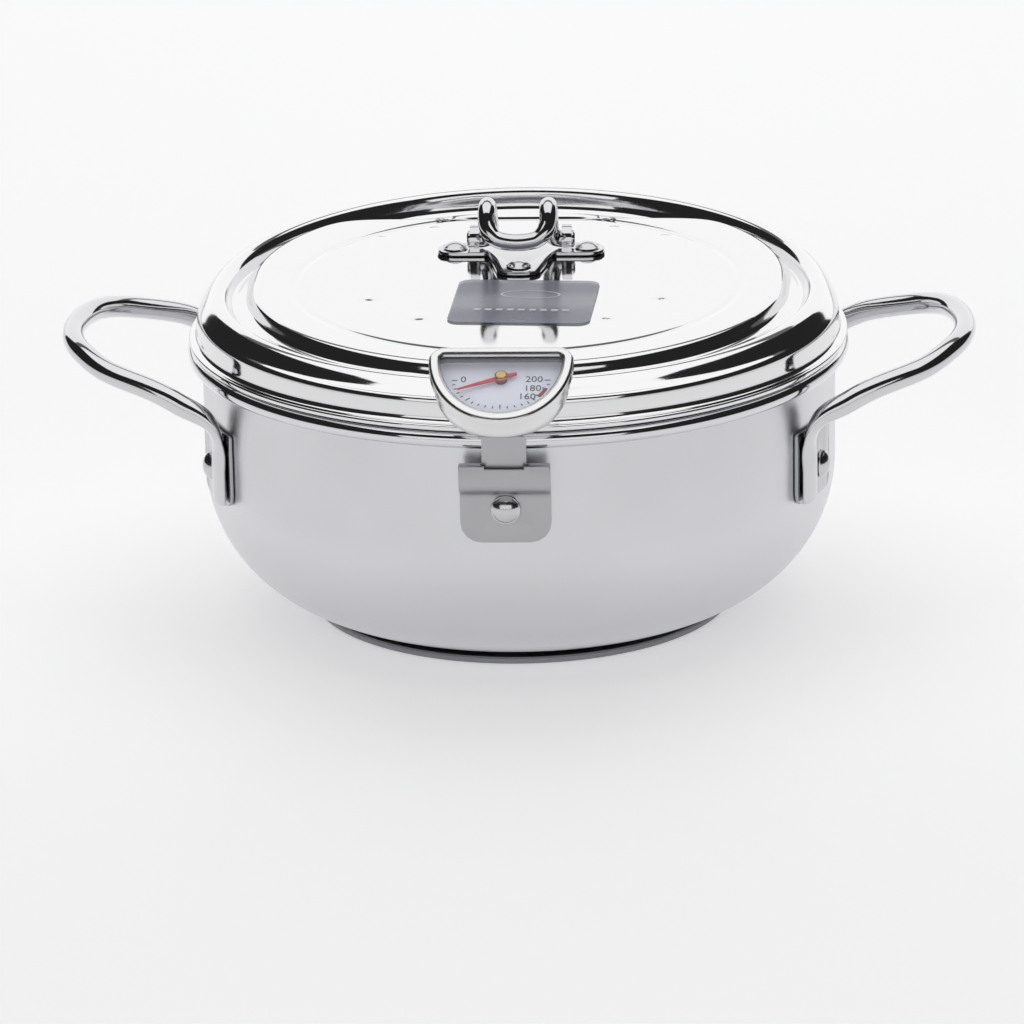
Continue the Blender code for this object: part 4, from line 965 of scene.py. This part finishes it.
@dataclass
class Lid:
    """The pressed lid: hem, locating lip, shoulder, drain groove and sloping middle.

    Attributes:
        sheet: thickness.
        bead: width of the bowl's rolled rim.
        lip_clearance: locating lip inside the bowl.
        lip: depth and thickness of the locating lip.
        crest_inset: hem to the shoulder's highest line.
        crest_rise: crest over the seat at mid lid.
        crest_slope: climb of the crest towards the rear.
        crest_bow: extra height of its front and rear.
        plateau_inset: crest to the edge of the raised middle.
        plateau_rise: middle over the seat.
        plateau_slope: climb of the middle towards the rear.
        rear_shift: how much further back the middle's rear round is centred.
        chord_inset: straight rear edge inside the half width.
        groove: depth of the groove round the middle.
        ring_radius: middle of the shallow ring pressed in the middle.
        ring_depth: how deep that ring is.
        ring_width: half its width.
        ribs: beads pressed in the middle.
        hem_points: points of the top, counted from the hem, that the underside doesn't follow.
        steps: facets in the full turn.
    """

    sheet: float = 0.7 * MM
    bead: float = 5.2 * MM
    lip_clearance: float = 0.5 * MM
    lip: tuple[float, float] = (3.0 * MM, 0.8 * MM)
    crest_inset: float = 10.5 * MM
    crest_rise: float = 16.6 * MM
    crest_slope: float = 0.04
    crest_bow: float = 1.2 * MM
    plateau_inset: float = 10.0 * MM
    plateau_rise: float = 17.0 * MM
    plateau_slope: float = 0.019
    rear_shift: float = 11.0 * MM
    chord_inset: float = 15.0 * MM
    groove: float = 4.6 * MM
    ring_radius: float = 71.5 * MM
    ring_depth: float = 0.36 * MM
    ring_width: float = 1.9 * MM
    ribs: list[Rib] = field(default_factory=lambda: [
        Rib(-46.5 * MM, -17.0 * MM, 46.0 * MM), Rib(46.5 * MM, -17.0 * MM, 46.0 * MM),
        Rib(-29.5 * MM, -37.0 * MM, 56.0 * MM), Rib(29.5 * MM, -37.0 * MM, 56.0 * MM)])
    hem_points: int = 22
    steps: int = 352

    def __post_init__(self) -> None:
        """Read the lid's seat and hem from the frame."""
        low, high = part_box("lid_shell")
        self.seat = low.z + self.lip[0]
        self.hem = high.x
        self.crest = self.hem - self.crest_inset
        self.plateau = self.crest - self.plateau_inset
        self.lip_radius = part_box("pot_shell")[1].x - self.bead - self.lip_clearance

    def crest_height(self, y: float) -> float:
        """Return the height of the shoulder's highest line."""
        share = y / self.crest
        return self.seat + self.crest_rise + self.crest_slope * y + self.crest_bow * share * share

    def flat_height(self, y: float) -> float:
        """Return the height of the plain, sloping middle."""
        return self.seat + self.plateau_rise + self.plateau_slope * y

    def middle_height(self, x: float, y: float) -> float:
        """Work out the height of the middle with its pressed ring and ribs.

        Args:
            x: the place across.
            y: the place along.

        Returns:
            The height of the top surface.
        """
        share = min(abs(math.hypot(x, y) - self.ring_radius) / self.ring_width, 1.0)
        dip = self.ring_depth * (1.0 - share * share) ** 2
        return self.flat_height(y) - dip + sum(rib.lift(x, y) for rib in self.ribs)

    def edge_radius(self, angle: float) -> float:
        """Work out the radius of the middle's edge: round in front, straight at the rear.

        Args:
            angle: direction from the axis, from +X towards +Y.

        Returns:
            The radius in that direction.
        """
        cosine, sine = math.cos(angle), math.sin(angle)
        if sine <= 0.0:
            return self.plateau
        reach = self.rear_shift * sine + math.sqrt(self.plateau ** 2 - (self.rear_shift * cosine) ** 2)
        if reach * sine < self.rear_shift:
            reach = self.plateau / abs(cosine)
        chord = (self.plateau - self.chord_inset) / sine
        sharpness = -26.0
        return (reach ** sharpness + chord ** sharpness) ** (1.0 / sharpness)

    def rim_outline(self, angle: float) -> Outline:
        """Draw the top surface from the middle's edge out to the hem, as a smooth curve.

        Args:
            angle: direction from the axis.

        Returns:
            Radius and height of each point.
        """
        sine = math.sin(angle)
        edge = self.edge_radius(angle)
        flat = self.flat_height(edge * sine)
        crest = self.crest_height(self.crest * sine)
        seat, hem = self.seat, self.hem
        far = self.crest - 3.6 * MM
        near = edge + 2.0 * MM
        between = 0.5 * (near + far)
        knots = [(edge - 3.4 * MM, self.flat_height((edge - 3.4 * MM) * sine)),
                 (edge - 1.9 * MM, self.flat_height((edge - 1.9 * MM) * sine) - 0.05 * MM),
                 (edge - 0.4 * MM, flat - 0.8 * MM),
                 (edge + 0.7 * MM, flat - 0.75 * self.groove),
                 (near, flat - self.groove),
                 (between, self.flat_height(between * sine) - self.groove - 0.15 * MM),
                 (far, self.flat_height(far * sine) - self.groove),
                 (self.crest - 1.9 * MM, crest - 1.3 * MM),
                 (self.crest, crest),
                 (self.crest + 2.7 * MM, crest - 0.75 * MM),
                 (self.crest + 5.6 * MM, crest - 3.9 * MM),
                 (hem - 3.05 * MM, seat + 9.3 * MM),
                 (hem - 2.65 * MM, seat + 6.0 * MM),
                 (hem - 2.5 * MM, seat + 3.4 * MM),
                 (hem - 1.7 * MM, seat + 2.25 * MM),
                 (hem - 0.3 * MM, seat + 1.85 * MM),
                 (hem, seat + 1.1 * MM),
                 (hem - 0.2 * MM, seat + 0.35 * MM),
                 (hem - 0.9 * MM, seat)]
        return [tuple(point) for point in smooth_path(knots, 4)]

    def section(self, angle: float) -> Outline:
        """Draw the lid's closed section, from the middle out and back underneath.

        Args:
            angle: direction from the axis.

        Returns:
            Radius and height of each point.
        """
        cosine, sine = math.cos(angle), math.sin(angle)
        rim = self.rim_outline(angle)
        inner = rim[0][0]
        radii = [self.ring_radius * k / 70 for k in range(1, 69)]
        radii += [self.ring_radius + self.ring_width * k / 4 for k in range(-4, 5)]
        far = radii[-1]
        radii += [far + (inner - far) * k / 5 for k in range(1, 5)]
        middle = [(radius, self.middle_height(radius * cosine, radius * sine)) for radius in radii]
        top = middle + rim
        depth, wall = self.lip
        edge = self.lip_radius
        lip = [(edge + 0.6 * MM, self.seat), (edge, self.seat - 0.4 * MM),
               (edge, self.seat - depth + 0.2 * MM), (edge - 0.5 * wall, self.seat - depth),
               (edge - wall, self.seat - depth + 0.2 * MM), (edge - wall, self.seat + 0.3 * self.sheet),
               (edge - 0.5 * wall, self.seat + self.sheet),
               (self.hem - 2.9 * MM - self.sheet, self.seat + self.sheet)]
        under = [point for i, point in enumerate(self.moved_in(top[:-self.hem_points])) if i % 2 == 0]
        return top + lip + under[::-1]

    def moved_in(self, outline: Outline) -> Outline:
        """Move an outline to the sheet's other side.

        Args:
            outline: points of the top surface, from the middle out.

        Returns:
            The same number of points, a sheet's thickness below.
        """
        result = []
        last = len(outline) - 1
        for i, (radius, height) in enumerate(outline):
            run = Vector(outline[min(i + 1, last)]) - Vector(outline[max(i - 1, 0)])
            side = Vector((run.y, -run.x)).normalized() * self.sheet
            result.append((max(radius + side.x, 0.2 * MM), height + side.y))
        return result

    def shell(self) -> bpy.types.Object:
        """Loft the lid's sections round the axis.

        Returns:
            The new piece.
        """
        angles = [math.tau * k / self.steps for k in range(self.steps)]
        sections = [self.section(angle) for angle in angles]
        rings = []
        for i in range(len(sections[0])):
            rings.append([Vector((section[i][0] * math.cos(angle), section[i][0] * math.sin(angle),
                                  section[i][1])) for section, angle in zip(sections, angles)])
        return make_piece("lid_sheet", lofted(rings), MIRROR_STEEL, Body.LID, ["lid_shell"])

    def build(self) -> None:
        """Make the lid's sheet."""
        self.shell()


@dataclass
class LidTop:
    """The bracket, its rivets, the folding wire hook and the label, on the lid's sloping top.

    Attributes:
        slope: climb of the lid's middle towards the rear.
        wire: radius of the hook's wire.
        knuckle: inner and outer side of each knuckle from the middle.
        half_width: legs of the hook from the middle.
        top: highest point of the hook from the hinge, along Y and up.
        end: closed end of the hook from the hinge, along Y and up.
        label_size: film across and along.
        label_corner: radius of its corners.
        label_turn: its slight turn, in degrees.
        film: thickness of the label.
        print_lift: thickness of the label's printing.
        print_gap: clear space between film and printing.
        ring: outer and inner half width of the printed ring.
        ring_squash: its height against its width.
        ring_centre: its middle on the label.
        dashes: how many there are in the printed row.
        dash_pitch: from one dash to the next.
        dash_half: half length of a dash.
        dash_rows: lower and upper edge of the row on the label.
        dash_corner: radius of a dash's corners.
        bracket_edge: rounding of the bracket's edges.
    """

    slope: float = 0.019
    wire: float = 2.8 * MM
    knuckle: tuple[float, float] = (13.3 * MM, 16.5 * MM)
    half_width: float = 9.8 * MM
    top: tuple[float, float] = (-18.0 * MM, 16.6 * MM)
    end: tuple[float, float] = (-28.0 * MM, 7.4 * MM)
    label_size: tuple[float, float] = (45.0 * MM, 44.0 * MM)
    label_corner: float = 4.0 * MM
    label_turn: float = -3.0
    film: float = 0.2 * MM
    print_lift: float = 0.04 * MM
    print_gap: float = 0.02 * MM
    ring: tuple[float, float] = (9.6 * MM, 8.9 * MM)
    ring_squash: float = 0.42
    ring_centre: tuple[float, float] = (1.5 * MM, 7.0 * MM)
    dashes: int = 9
    dash_pitch: float = 3.5 * MM
    dash_half: float = 1.1 * MM
    dash_rows: tuple[float, float] = (-9.6 * MM, -8.0 * MM)
    dash_corner: float = 0.4 * MM
    bracket_edge: float = 0.2 * MM

    def __post_init__(self) -> None:
        """Read the hinge and the tilt of the lid's top from the frame."""
        self.tilt = Matrix.Rotation(math.atan(self.slope), 4, "X")
        self.normal = (self.tilt @ UP.to_4d()).to_3d()
        hinge = next(joint for joint in frame["joints"] if joint["name"] == "hook_fold")
        self.hinge = Matrix.Translation(hinge["pos_m"]) @ self.tilt

    def hook(self) -> bpy.types.Object:
        """Sweep the wire from one knuckle round the closed end to the other.

        Returns:
            The new piece.
        """
        inner, outer = self.knuckle
        wide = self.half_width
        top_y, top_z = self.top
        end_y, end_z = self.end
        half = [(outer + 1.0 * MM, 0.0, 0.0), (0.5 * (inner + outer), 0.0, 0.0), (inner, 0.0, 0.0),
                (wide + 1.2 * MM, -0.5 * MM, 0.6 * MM), (wide, -3.0 * MM, 3.6 * MM),
                (wide, 0.6 * top_y, 0.75 * top_z), (wide, top_y, top_z),
                (wide, 0.5 * (top_y + end_y), top_z - 0.8 * MM),
                (wide, end_y + 3.0 * MM, 0.5 * (top_z + end_z) + 1.0 * MM),
                (wide - 1.1 * MM, end_y + 1.2 * MM, end_z + 3.0 * MM),
                (wide - 3.9 * MM, end_y + 0.3 * MM, end_z + 0.8 * MM)]
        left = [(-x, y, z) for x, y, z in half]
        path = smooth_path(left + [(0.0, end_y, end_z)] + half[::-1], 6)

        def sideways(point: Vector) -> Vector:
            """Give a direction that never runs along the wire.

            Args:
                point: a point of the wire's middle line.

            Returns:
                The direction.
            """
            share = smoothstep(wide, inner, abs(point.x))
            across_wire = Vector((1.0, 0.55, 0.35))
            return across_wire.lerp(Vector((0.0, 0.6, 0.8)), share)

        bm = swept(path, lambda point: (self.wire, self.wire), sideways, 28)
        return make_piece("hook_wire", moved(bm, self.hinge), WIRE_STEEL, Body.HOOK,
                          ["lid_handle"])

    def label_place(self) -> Matrix:
        """Find the frame of the label's top face.

        Returns:
            The matrix that sets a flat shape on that face.
        """
        corners = [vert.co.dot(self.normal) for vert in frame["nodes"]["lid_label"].data.vertices]
        low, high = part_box("lid_label")
        middle = 0.5 * (low + high)
        middle += self.normal * (max(corners) - middle.dot(self.normal))
        return Matrix.Translation(middle) @ self.tilt @ Matrix.Rotation(math.radians(self.label_turn), 4, "Z")

    def label(self) -> None:
        """Make the film and its plain printing: an open ring and a row of dashes."""
        place = self.label_place()
        half_x, half_y = (0.5 * size for size in self.label_size)
        sheet = box_outline((-half_x, half_x), (-half_y, half_y), self.label_corner)
        make_piece("label_film_sheet", moved(prism(sheet, -self.film, self.film), place), LABEL_FILM,
                   Body.LID, ["lid_label"])
        outer, inner = self.ring
        lift = self.print_lift
        circle = [(x, y * self.ring_squash) for x, y in arc((0.0, 0.0), 1.0, 0.0, 360.0, 48)[:-1]]
        rings = [[Vector((x * radius, y * radius, height)) for x, y in circle]
                 for radius, height in ((outer, 0.0), (outer, lift), (inner, lift), (inner, 0.0))]
        marks = [moved(lofted(rings, wrap=True), Matrix.Translation((*self.ring_centre, self.print_gap)))]
        for k in range(self.dashes):
            x = (k - 0.5 * (self.dashes - 1)) * self.dash_pitch
            bar = box_outline((x - self.dash_half, x + self.dash_half), self.dash_rows, self.dash_corner, 3)
            marks.append(prism(bar, self.print_gap, lift))
        make_piece("label_marks", moved(joined(marks), place), WHITE_INK, Body.LID)

    def build(self) -> None:
        """Make everything that is fixed or hinged on the lid's top."""
        refine_node("lid_bracket", "bracket_plate", self.bracket_edge, WIRE_STEEL, Body.LID)
        for name in ("left", "right", "front"):
            Rivet("bracket_rivet_" + name, self.normal, Body.LID, head=4.0 * MM, dome=1.8 * MM,
                  shank=1.6 * MM, tail=4.0 * MM).build()
        self.hook()
        self.label()


# --------------------------------------------------------------------------- thermometer

@dataclass
class Thermometer:
    """The head with its window, dial and pointer, and the strip that carries it.

    Attributes:
        half_width: half the face's width.
        rear: pivot to the straight rear edge.
        corner: radius of the face's rear corners.
        stretch: length of the face's round front against its half width.
        rise: pivot over the case's bottom.
        case_inset: case wall inside the bezel's outside.
        case_wall: thickness of the case wall.
        bottom_scale: case bottom against the face outline, across and along.
        bottom: thickness of the case bottom.
        bezel_wall: thickness of the bezel.
        bezel_width: width of the bezel's face.
        bezel_top: height of the bezel over the case's mouth.
        skirt: how far the bezel reaches down the case.
        filling: outline of what lies in the case, inside the bezel's outside.
        gap: space between pieces that touch.
        levels: lens top and bottom, gasket bottom, dial top and bottom, over the mouth.
        numerals: each number on the dial with its place.
        scale_size: half sizes of the oval line that the scale's marks end on.
        ink: thickness of the dial's printing.
        strip_edge: rounding of the strip's edges.
        needle_edges: rounding of the pointer's and its hub's edges.
    """

    half_width: float = 22.0 * MM
    rear: float = 10.0 * MM
    corner: float = 5.0 * MM
    stretch: float = 1.25
    rise: float = 17.6 * MM
    case_inset: float = 1.1 * MM
    case_wall: float = 0.7 * MM
    bottom_scale: tuple[float, float] = (0.42, 0.52)
    bottom: float = 0.8 * MM
    bezel_wall: float = 0.8 * MM
    bezel_width: float = 3.6 * MM
    bezel_top: float = 1.2 * MM
    skirt: float = 2.6 * MM
    filling: float = 2.1 * MM
    gap: float = 0.3 * MM
    levels: tuple[float, ...] = (-0.3 * MM, -1.5 * MM, -2.4 * MM, -4.4 * MM, -5.0 * MM)
    numerals: tuple[tuple[str, float, float], ...] = (
        ("0", -11.4 * MM, 0.3 * MM), ("200", 10.0 * MM, 0.3 * MM), ("180", 9.6 * MM, -3.6 * MM),
        ("160", 8.0 * MM, -7.2 * MM))
    scale_size: tuple[float, float] = (14.9 * MM, 12.4 * MM)
    ink: float = 0.05 * MM
    strip_edge: float = 0.15 * MM
    needle_edges: tuple[float, float] = (0.08 * MM, 0.12 * MM)

    def __post_init__(self) -> None:
        """Read the face's frame from the pointer's joint."""
        joint = next(joint for joint in frame["joints"] if joint["name"] == "needle_turn")
        self.pivot = Vector(joint["pos_m"])
        self.normal = Vector(joint["axis"]).normalized()
        angle = math.atan2(-self.normal.y, self.normal.z)
        self.tilt = Matrix.Rotation(angle, 4, "X")
        self.place = Matrix.Translation(self.pivot) @ self.tilt

    def dee(self, inset: float) -> Outline:
        """Draw the face's D outline.

        Args:
            inset: how far it is moved in.

        Returns:
            The outline's points, from the left round the front.
        """
        half = self.half_width - inset
        corner = max(self.corner - inset, 1.0 * MM)
        rear = self.rear - inset
        middle = min(self.rear - self.corner, rear - corner)
        outline = [(x, middle + self.stretch * (y - middle))
                   for x, y in arc((0.0, middle), half, 180.0, 360.0, 72)]
        outline += arc((half - corner, rear - corner), corner, 0.0, 90.0, 10)[1:]
        straight = half - corner
        outline += [(straight * (1.0 - k / 10.0), rear) for k in range(1, 20)]
        outline += arc((corner - half, rear - corner), corner, 90.0, 180.0, 10)[:-1]
        return outline

    def ring(self, inset: float, height: float) -> Ring:
        """Return the outline in place, at one height over the case's mouth."""
        return [self.place @ Vector((x, y, height)) for x, y in self.dee(inset)]

    def bottom_ring(self, shrink: float, height: float) -> Ring:
        """Draw the case bottom's level outline, in place.

        Args:
            shrink: how far the face's outline is moved in before it is scaled down.
            height: over the case's lowest point.

        Returns:
            The outline's points.
        """
        centre = 0.5 * (self.rear - self.half_width)
        wide, long = self.bottom_scale
        return [self.pivot + Vector((x * wide, (y - centre) * long, height - self.rise))
                for x, y in self.dee(shrink)]

    def bowl_rings(self, upper: Ring, lower: Ring, steps: int = 18) -> list[Ring]:
        """Curve rings from an upper outline down to a lower one.

        Args:
            upper: the outline at the top.
            lower: the outline at the bottom, with as many points.
            steps: steps between the two.

        Returns:
            The rings, from the top down.
        """
        rings = []
        for k in range(steps + 1):
            turn = 0.5 * math.pi * k / steps
            sideways, down = math.cos(turn), 1.0 - math.sin(turn)
            rings.append([low + Vector(((high - low).x * sideways, (high - low).y * sideways,
                                        (high - low).z * down)) for high, low in zip(upper, lower)])
        return rings

    def case(self) -> bpy.types.Object:
        """Loft the drawn cup: outside, over the mouth, a ledge and the inside.

        Returns:
            The new piece.
        """
        inner = self.case_inset + self.case_wall
        shelf = self.levels[4] - self.gap
        outside = self.bowl_rings(self.ring(self.case_inset, shelf - self.gap), self.bottom_ring(0.0, 0.0))
        inside = self.bowl_rings(self.ring(inner + 1.4 * MM, shelf),
                                 self.bottom_ring(self.bottom / self.bottom_scale[0], self.bottom))
        rings = outside[::-1]
        rings += [self.ring(self.case_inset, -self.gap), self.ring(inner, -self.gap), self.ring(inner, shelf)]
        return make_piece("case_cup", lofted(rings + inside), CASE_STEEL, Body.THERMOMETER,
                          ["thermometer_case"])

    def bezel(self) -> bpy.types.Object:
        """Loft the bezel with a soft outer shoulder and a bright inner slope.

        Returns:
            The new piece.
        """
        wall, wide, top = self.bezel_wall, self.bezel_width, self.bezel_top
        section = [(0.0, -self.skirt + 0.2 * MM), (0.0, -0.6 * MM)]
        section += [(1.4 * MM - x, y) for x, y in arc((0.0, -0.2 * MM), 1.4 * MM, 10.0, 80.0, 8)]
        section += [(wide - 1.5 * MM, top), (wide - 0.9 * MM, 0.86 * top), (wide - 0.25 * MM, 0.35 * top),
                    (wide, 0.15 * top), (wide, 0.0), (wall + 0.2 * MM, 0.0), (wall, -0.2 * MM),
                    (wall, -self.skirt), (0.2 * MM, -self.skirt)]
        rings = [self.ring(inset, height) for inset, height in section]
        return make_piece("bezel_ring", lofted(rings, wrap=True), CASE_STEEL, Body.THERMOMETER,
                          ["thermometer_bezel"])

    def window(self) -> None:
        """Loft the flat lens and the seal under it."""
        top, bottom = self.levels[0], self.levels[1]
        ease = 0.3 * MM
        lens = [(self.filling + ease, bottom), (self.filling, bottom + ease), (self.filling, top - ease),
                (self.filling + ease, top)]
        glass = make_piece("window", lofted([self.ring(*level) for level in lens]), LENS_GLASS,
                           Body.THERMOMETER, ["thermometer_lens"])
        glass.visible_shadow = False
        seal_inner = self.filling + 1.3 * MM
        high, low = bottom - self.gap, self.levels[2]
        seal = [(self.filling, high), (seal_inner, high), (seal_inner, low), (self.filling, low)]
        make_piece("seal", lofted([self.ring(*level) for level in seal], wrap=True), SEAL_RUBBER,
                   Body.THERMOMETER, ["lens_gasket"])

    def scale_point(self, direction: float) -> Vector:
        """Return the place on the oval scale line that lies in a direction from the pivot."""
        wide, long = self.scale_size
        return Vector((wide * math.cos(direction), long * math.sin(direction)))

    def tick(self, direction: float, length: float, width: float) -> bmesh.types.BMesh:
        """Make one mark that points at the pivot and ends on the scale line.

        Args:
            direction: its direction from the pivot.
            length: from its inner end to the scale line.
            width: its width.

        Returns:
            The mark's shape.
        """
        far = self.scale_point(direction)
        near = far * (1.0 - length / far.length)
        side = Vector((-far.y, far.x)).normalized() * (0.5 * width)
        corners = [near - side, far - side, far + side, near + side]
        return prism([tuple(corner) for corner in corners], self.levels[3] + self.ink, self.ink)

    def printing(self) -> None:
        """Print the scale's marks, its numbers and its red zone."""
        height = self.levels[3] + 1.5 * self.ink
        black = []
        for degrees in range(0, 201, 10):
            long = degrees % 50 == 0 or degrees in (160, 180)
            direction = math.pi + math.radians(0.9 * degrees)
            black.append(self.tick(direction, (1.7 if long else 0.9) * MM, 0.34 * MM))
        for text, x, y in self.numerals:
            black.append(moved(lettering(text, 3.6 * MM, self.ink), Matrix.Translation((x, y, height))))
        make_piece("dial_marks", moved(joined(black), self.place), BLACK_INK, Body.THERMOMETER)
        zone = [self.tick(math.pi + math.radians(0.9 * (160.0 + 0.5 * k)), 1.2 * MM, 0.2 * MM)
                for k in range(41)]
        make_piece("dial_zone", moved(joined(zone), self.place), RED_INK, Body.THERMOMETER)

    def build(self) -> None:
        """Make the head from the outside in, then dress what keeps its shape."""
        self.case()
        self.bezel()
        self.window()
        self.printing()
        refine_node("thermometer_tab", "strip", self.strip_edge, STRIP_STEEL, Body.THERMOMETER)
        for name in ("left", "right"):
            Rivet("tab_rivet_" + name, UP, Body.THERMOMETER, head=2.2 * MM, dome=0.8 * MM, shank=1.1 * MM,
                  tail=2.2 * MM, tail_thickness=0.8 * MM).build()
        for node, finish in (("dial_plate", DIAL_ENAMEL), ("shaft_bush", BRASS), ("bimetal_coil", BIMETAL),
                             ("coil_anchor", BRASS), ("pointer_shaft", BRASS)):
            dress_node(node, finish)
        blade_edge, hub_edge = self.needle_edges
        refine_node("pointer", "needle_blade", blade_edge, RED_PAINT, Body.NEEDLE)
        refine_node("pointer_hub", "needle_hub", hub_edge, BRASS, Body.NEEDLE)


# --------------------------------------------------------------------------- studio

@dataclass
class Panel:
    """A soft light that faces the pot.

    Attributes:
        name: its name.
        azimuth: where it hangs, in degrees from the front towards +X.
        elevation: its middle's elevation, in degrees.
        distance: from the pot.
        size: across and up.
        radiance: brightness.
    """

    name: str
    azimuth: float
    elevation: float
    distance: float
    size: tuple[float, float]
    radiance: float

    def build(self) -> None:
        """Hang the light; the camera doesn't see it."""
        turn, lift = math.radians(self.azimuth), math.radians(self.elevation)
        away = Vector((math.sin(turn) * math.cos(lift), -math.cos(turn) * math.cos(lift), math.sin(lift)))
        light = bpy.data.lights.new(self.name, "AREA")
        light.shape = "RECTANGLE"
        light.size, light.size_y = self.size
        light.energy = self.radiance * math.pi * self.size[0] * self.size[1]
        lamp = bpy.data.objects.new(self.name, light)
        lamp.matrix_world = (Matrix.Translation(Vector((0.0, 0.0, 0.06)) + away * self.distance)
                             @ away.to_track_quat("Z", "Y").to_matrix().to_4x4())
        lamp.visible_camera = False
        bpy.context.scene.collection.objects.link(lamp)


@dataclass
class Studio:
    """Pale floor, soft lights and a dark surrounding that only reflections see.

    Attributes:
        panels: the soft lights.
        surround: brightness of the surroundings between the lights.
        backdrop: brightness that the camera sees past the floor.
        floor_size: half the floor's width.
        floor_glow: brightness that the floor adds of its own.
    """

    panels: list[Panel] = field(default_factory=lambda: [
        Panel("overhead", 180.0, 84.0, 1.7, (2.6, 2.3), 1.15),
        Panel("rear", 180.0, 19.0, 2.4, (3.4, 1.65), 1.1),
        Panel("rear_high", 180.0, 44.0, 2.4, (3.4, 0.6), 0.12),
        Panel("front", 0.0, 14.5, 2.6, (3.9, 1.2), 0.95)])
    surround: float = 0.02
    backdrop: float = 1.0
    floor_size: float = 6.0
    floor_glow: float = 0.4

    def world(self) -> None:
        """Make a dark surrounding that the camera sees as a pale backdrop."""
        world = bpy.data.worlds.new("studio")
        bpy.context.scene.world = world
        world.use_nodes = True
        tree = world.node_tree
        tree.nodes.clear()
        path = add_node(tree, "ShaderNodeLightPath")
        brightness = add_node(tree, "ShaderNodeMapRange", {"Value": path.outputs["Is Camera Ray"],
                                                           3: self.surround, 4: self.backdrop})
        light = add_node(tree, "ShaderNodeBackground", {"Color": (1.0, 1.0, 1.0, 1.0),
                                                        "Strength": brightness.outputs["Result"]})
        add_node(tree, "ShaderNodeOutputWorld", {"Surface": light.outputs["Background"]})

    def floor(self) -> None:
        """Lay the wide floor of matt white paper."""
        bm = bmesh.new()
        bmesh.ops.create_grid(bm, x_segments=1, y_segments=1, size=self.floor_size)
        bmesh.ops.translate(bm, vec=(0.0, 0.0, -0.2 * MM), verts=bm.verts)
        mesh = bpy.data.meshes.new("floor")
        bm.to_mesh(mesh)
        bm.free()
        paper = bpy.data.materials.new("white_studio_paper")
        paper.use_nodes = True
        shader = paper.node_tree.nodes["Principled BSDF"]
        shader.inputs["Base Color"].default_value = linear_colour("#F2F2F3")
        shader.inputs["Roughness"].default_value = 0.9
        shader.inputs["Specular IOR Level"].default_value = 0.1
        shader.inputs["Emission Color"].default_value = (1.0, 1.0, 1.0, 1.0)
        shader.inputs["Emission Strength"].default_value = self.floor_glow
        mesh.materials.append(paper)
        floor = bpy.data.objects.new("floor", mesh)
        bpy.context.scene.collection.objects.link(floor)

    def build(self) -> None:
        """Set up the whole studio."""
        bpy.context.scene.view_settings.view_transform = "Standard"
        self.world()
        self.floor()
        for panel in self.panels:
            panel.build()


@dataclass
class Camera:
    """A long lens that looks down on the pot from the front.

    Attributes:
        target: the point on the axis that it is set up on.
        distance: from the target.
        azimuth: degrees towards +X.
        elevation: degrees over the horizon.
        roll: degrees of tilt about the line of sight.
        lens: focal length in millimetres on a 36 mm sensor.
        aim: how far right and up of the target it points.
    """

    target: tuple[float, float, float] = (0.0, 0.0, 0.045)
    distance: float = 2.0
    azimuth: float = 2.7
    elevation: float = 18.18
    roll: float = -1.06
    lens: float = 217.6
    aim: tuple[float, float] = (-0.00307, -0.0164)

    def build(self) -> None:
        """Place the camera and make it the scene's."""
        turn, lift = math.radians(self.azimuth), math.radians(self.elevation)
        back = Vector((math.sin(turn) * math.cos(lift), -math.cos(turn) * math.cos(lift), math.sin(lift)))
        right = Vector((math.cos(turn), math.sin(turn), 0.0))
        above = back.cross(right)
        place = Vector(self.target) + back * self.distance
        aimed = Vector(self.target) + right * self.aim[0] + above * self.aim[1]
        data = bpy.data.cameras.new("camera")
        data.lens = self.lens
        data.sensor_width = 36.0
        data.clip_start, data.clip_end = 0.05, 30.0
        camera = bpy.data.objects.new("camera", data)
        look = (aimed - place).to_track_quat("-Z", "Y").to_matrix().to_4x4()
        camera.matrix_world = (Matrix.Translation(place) @ look
                               @ Matrix.Rotation(math.radians(self.roll), 4, "Z"))
        bpy.context.scene.collection.objects.link(camera)
        bpy.context.scene.camera = camera


def main() -> None:
    """Build the studio and the whole object."""
    logging.basicConfig(level=logging.INFO, format="%(name)s %(message)s")
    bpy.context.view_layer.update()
    Camera().build()
    Studio().build()
    for part in (Bowl(), SideHandles(), Holder(), Lid(), LidTop(), Thermometer()):
        LOG.info("building %s", type(part).__name__)
        part.build()


if __name__ == "__main__":
    main()
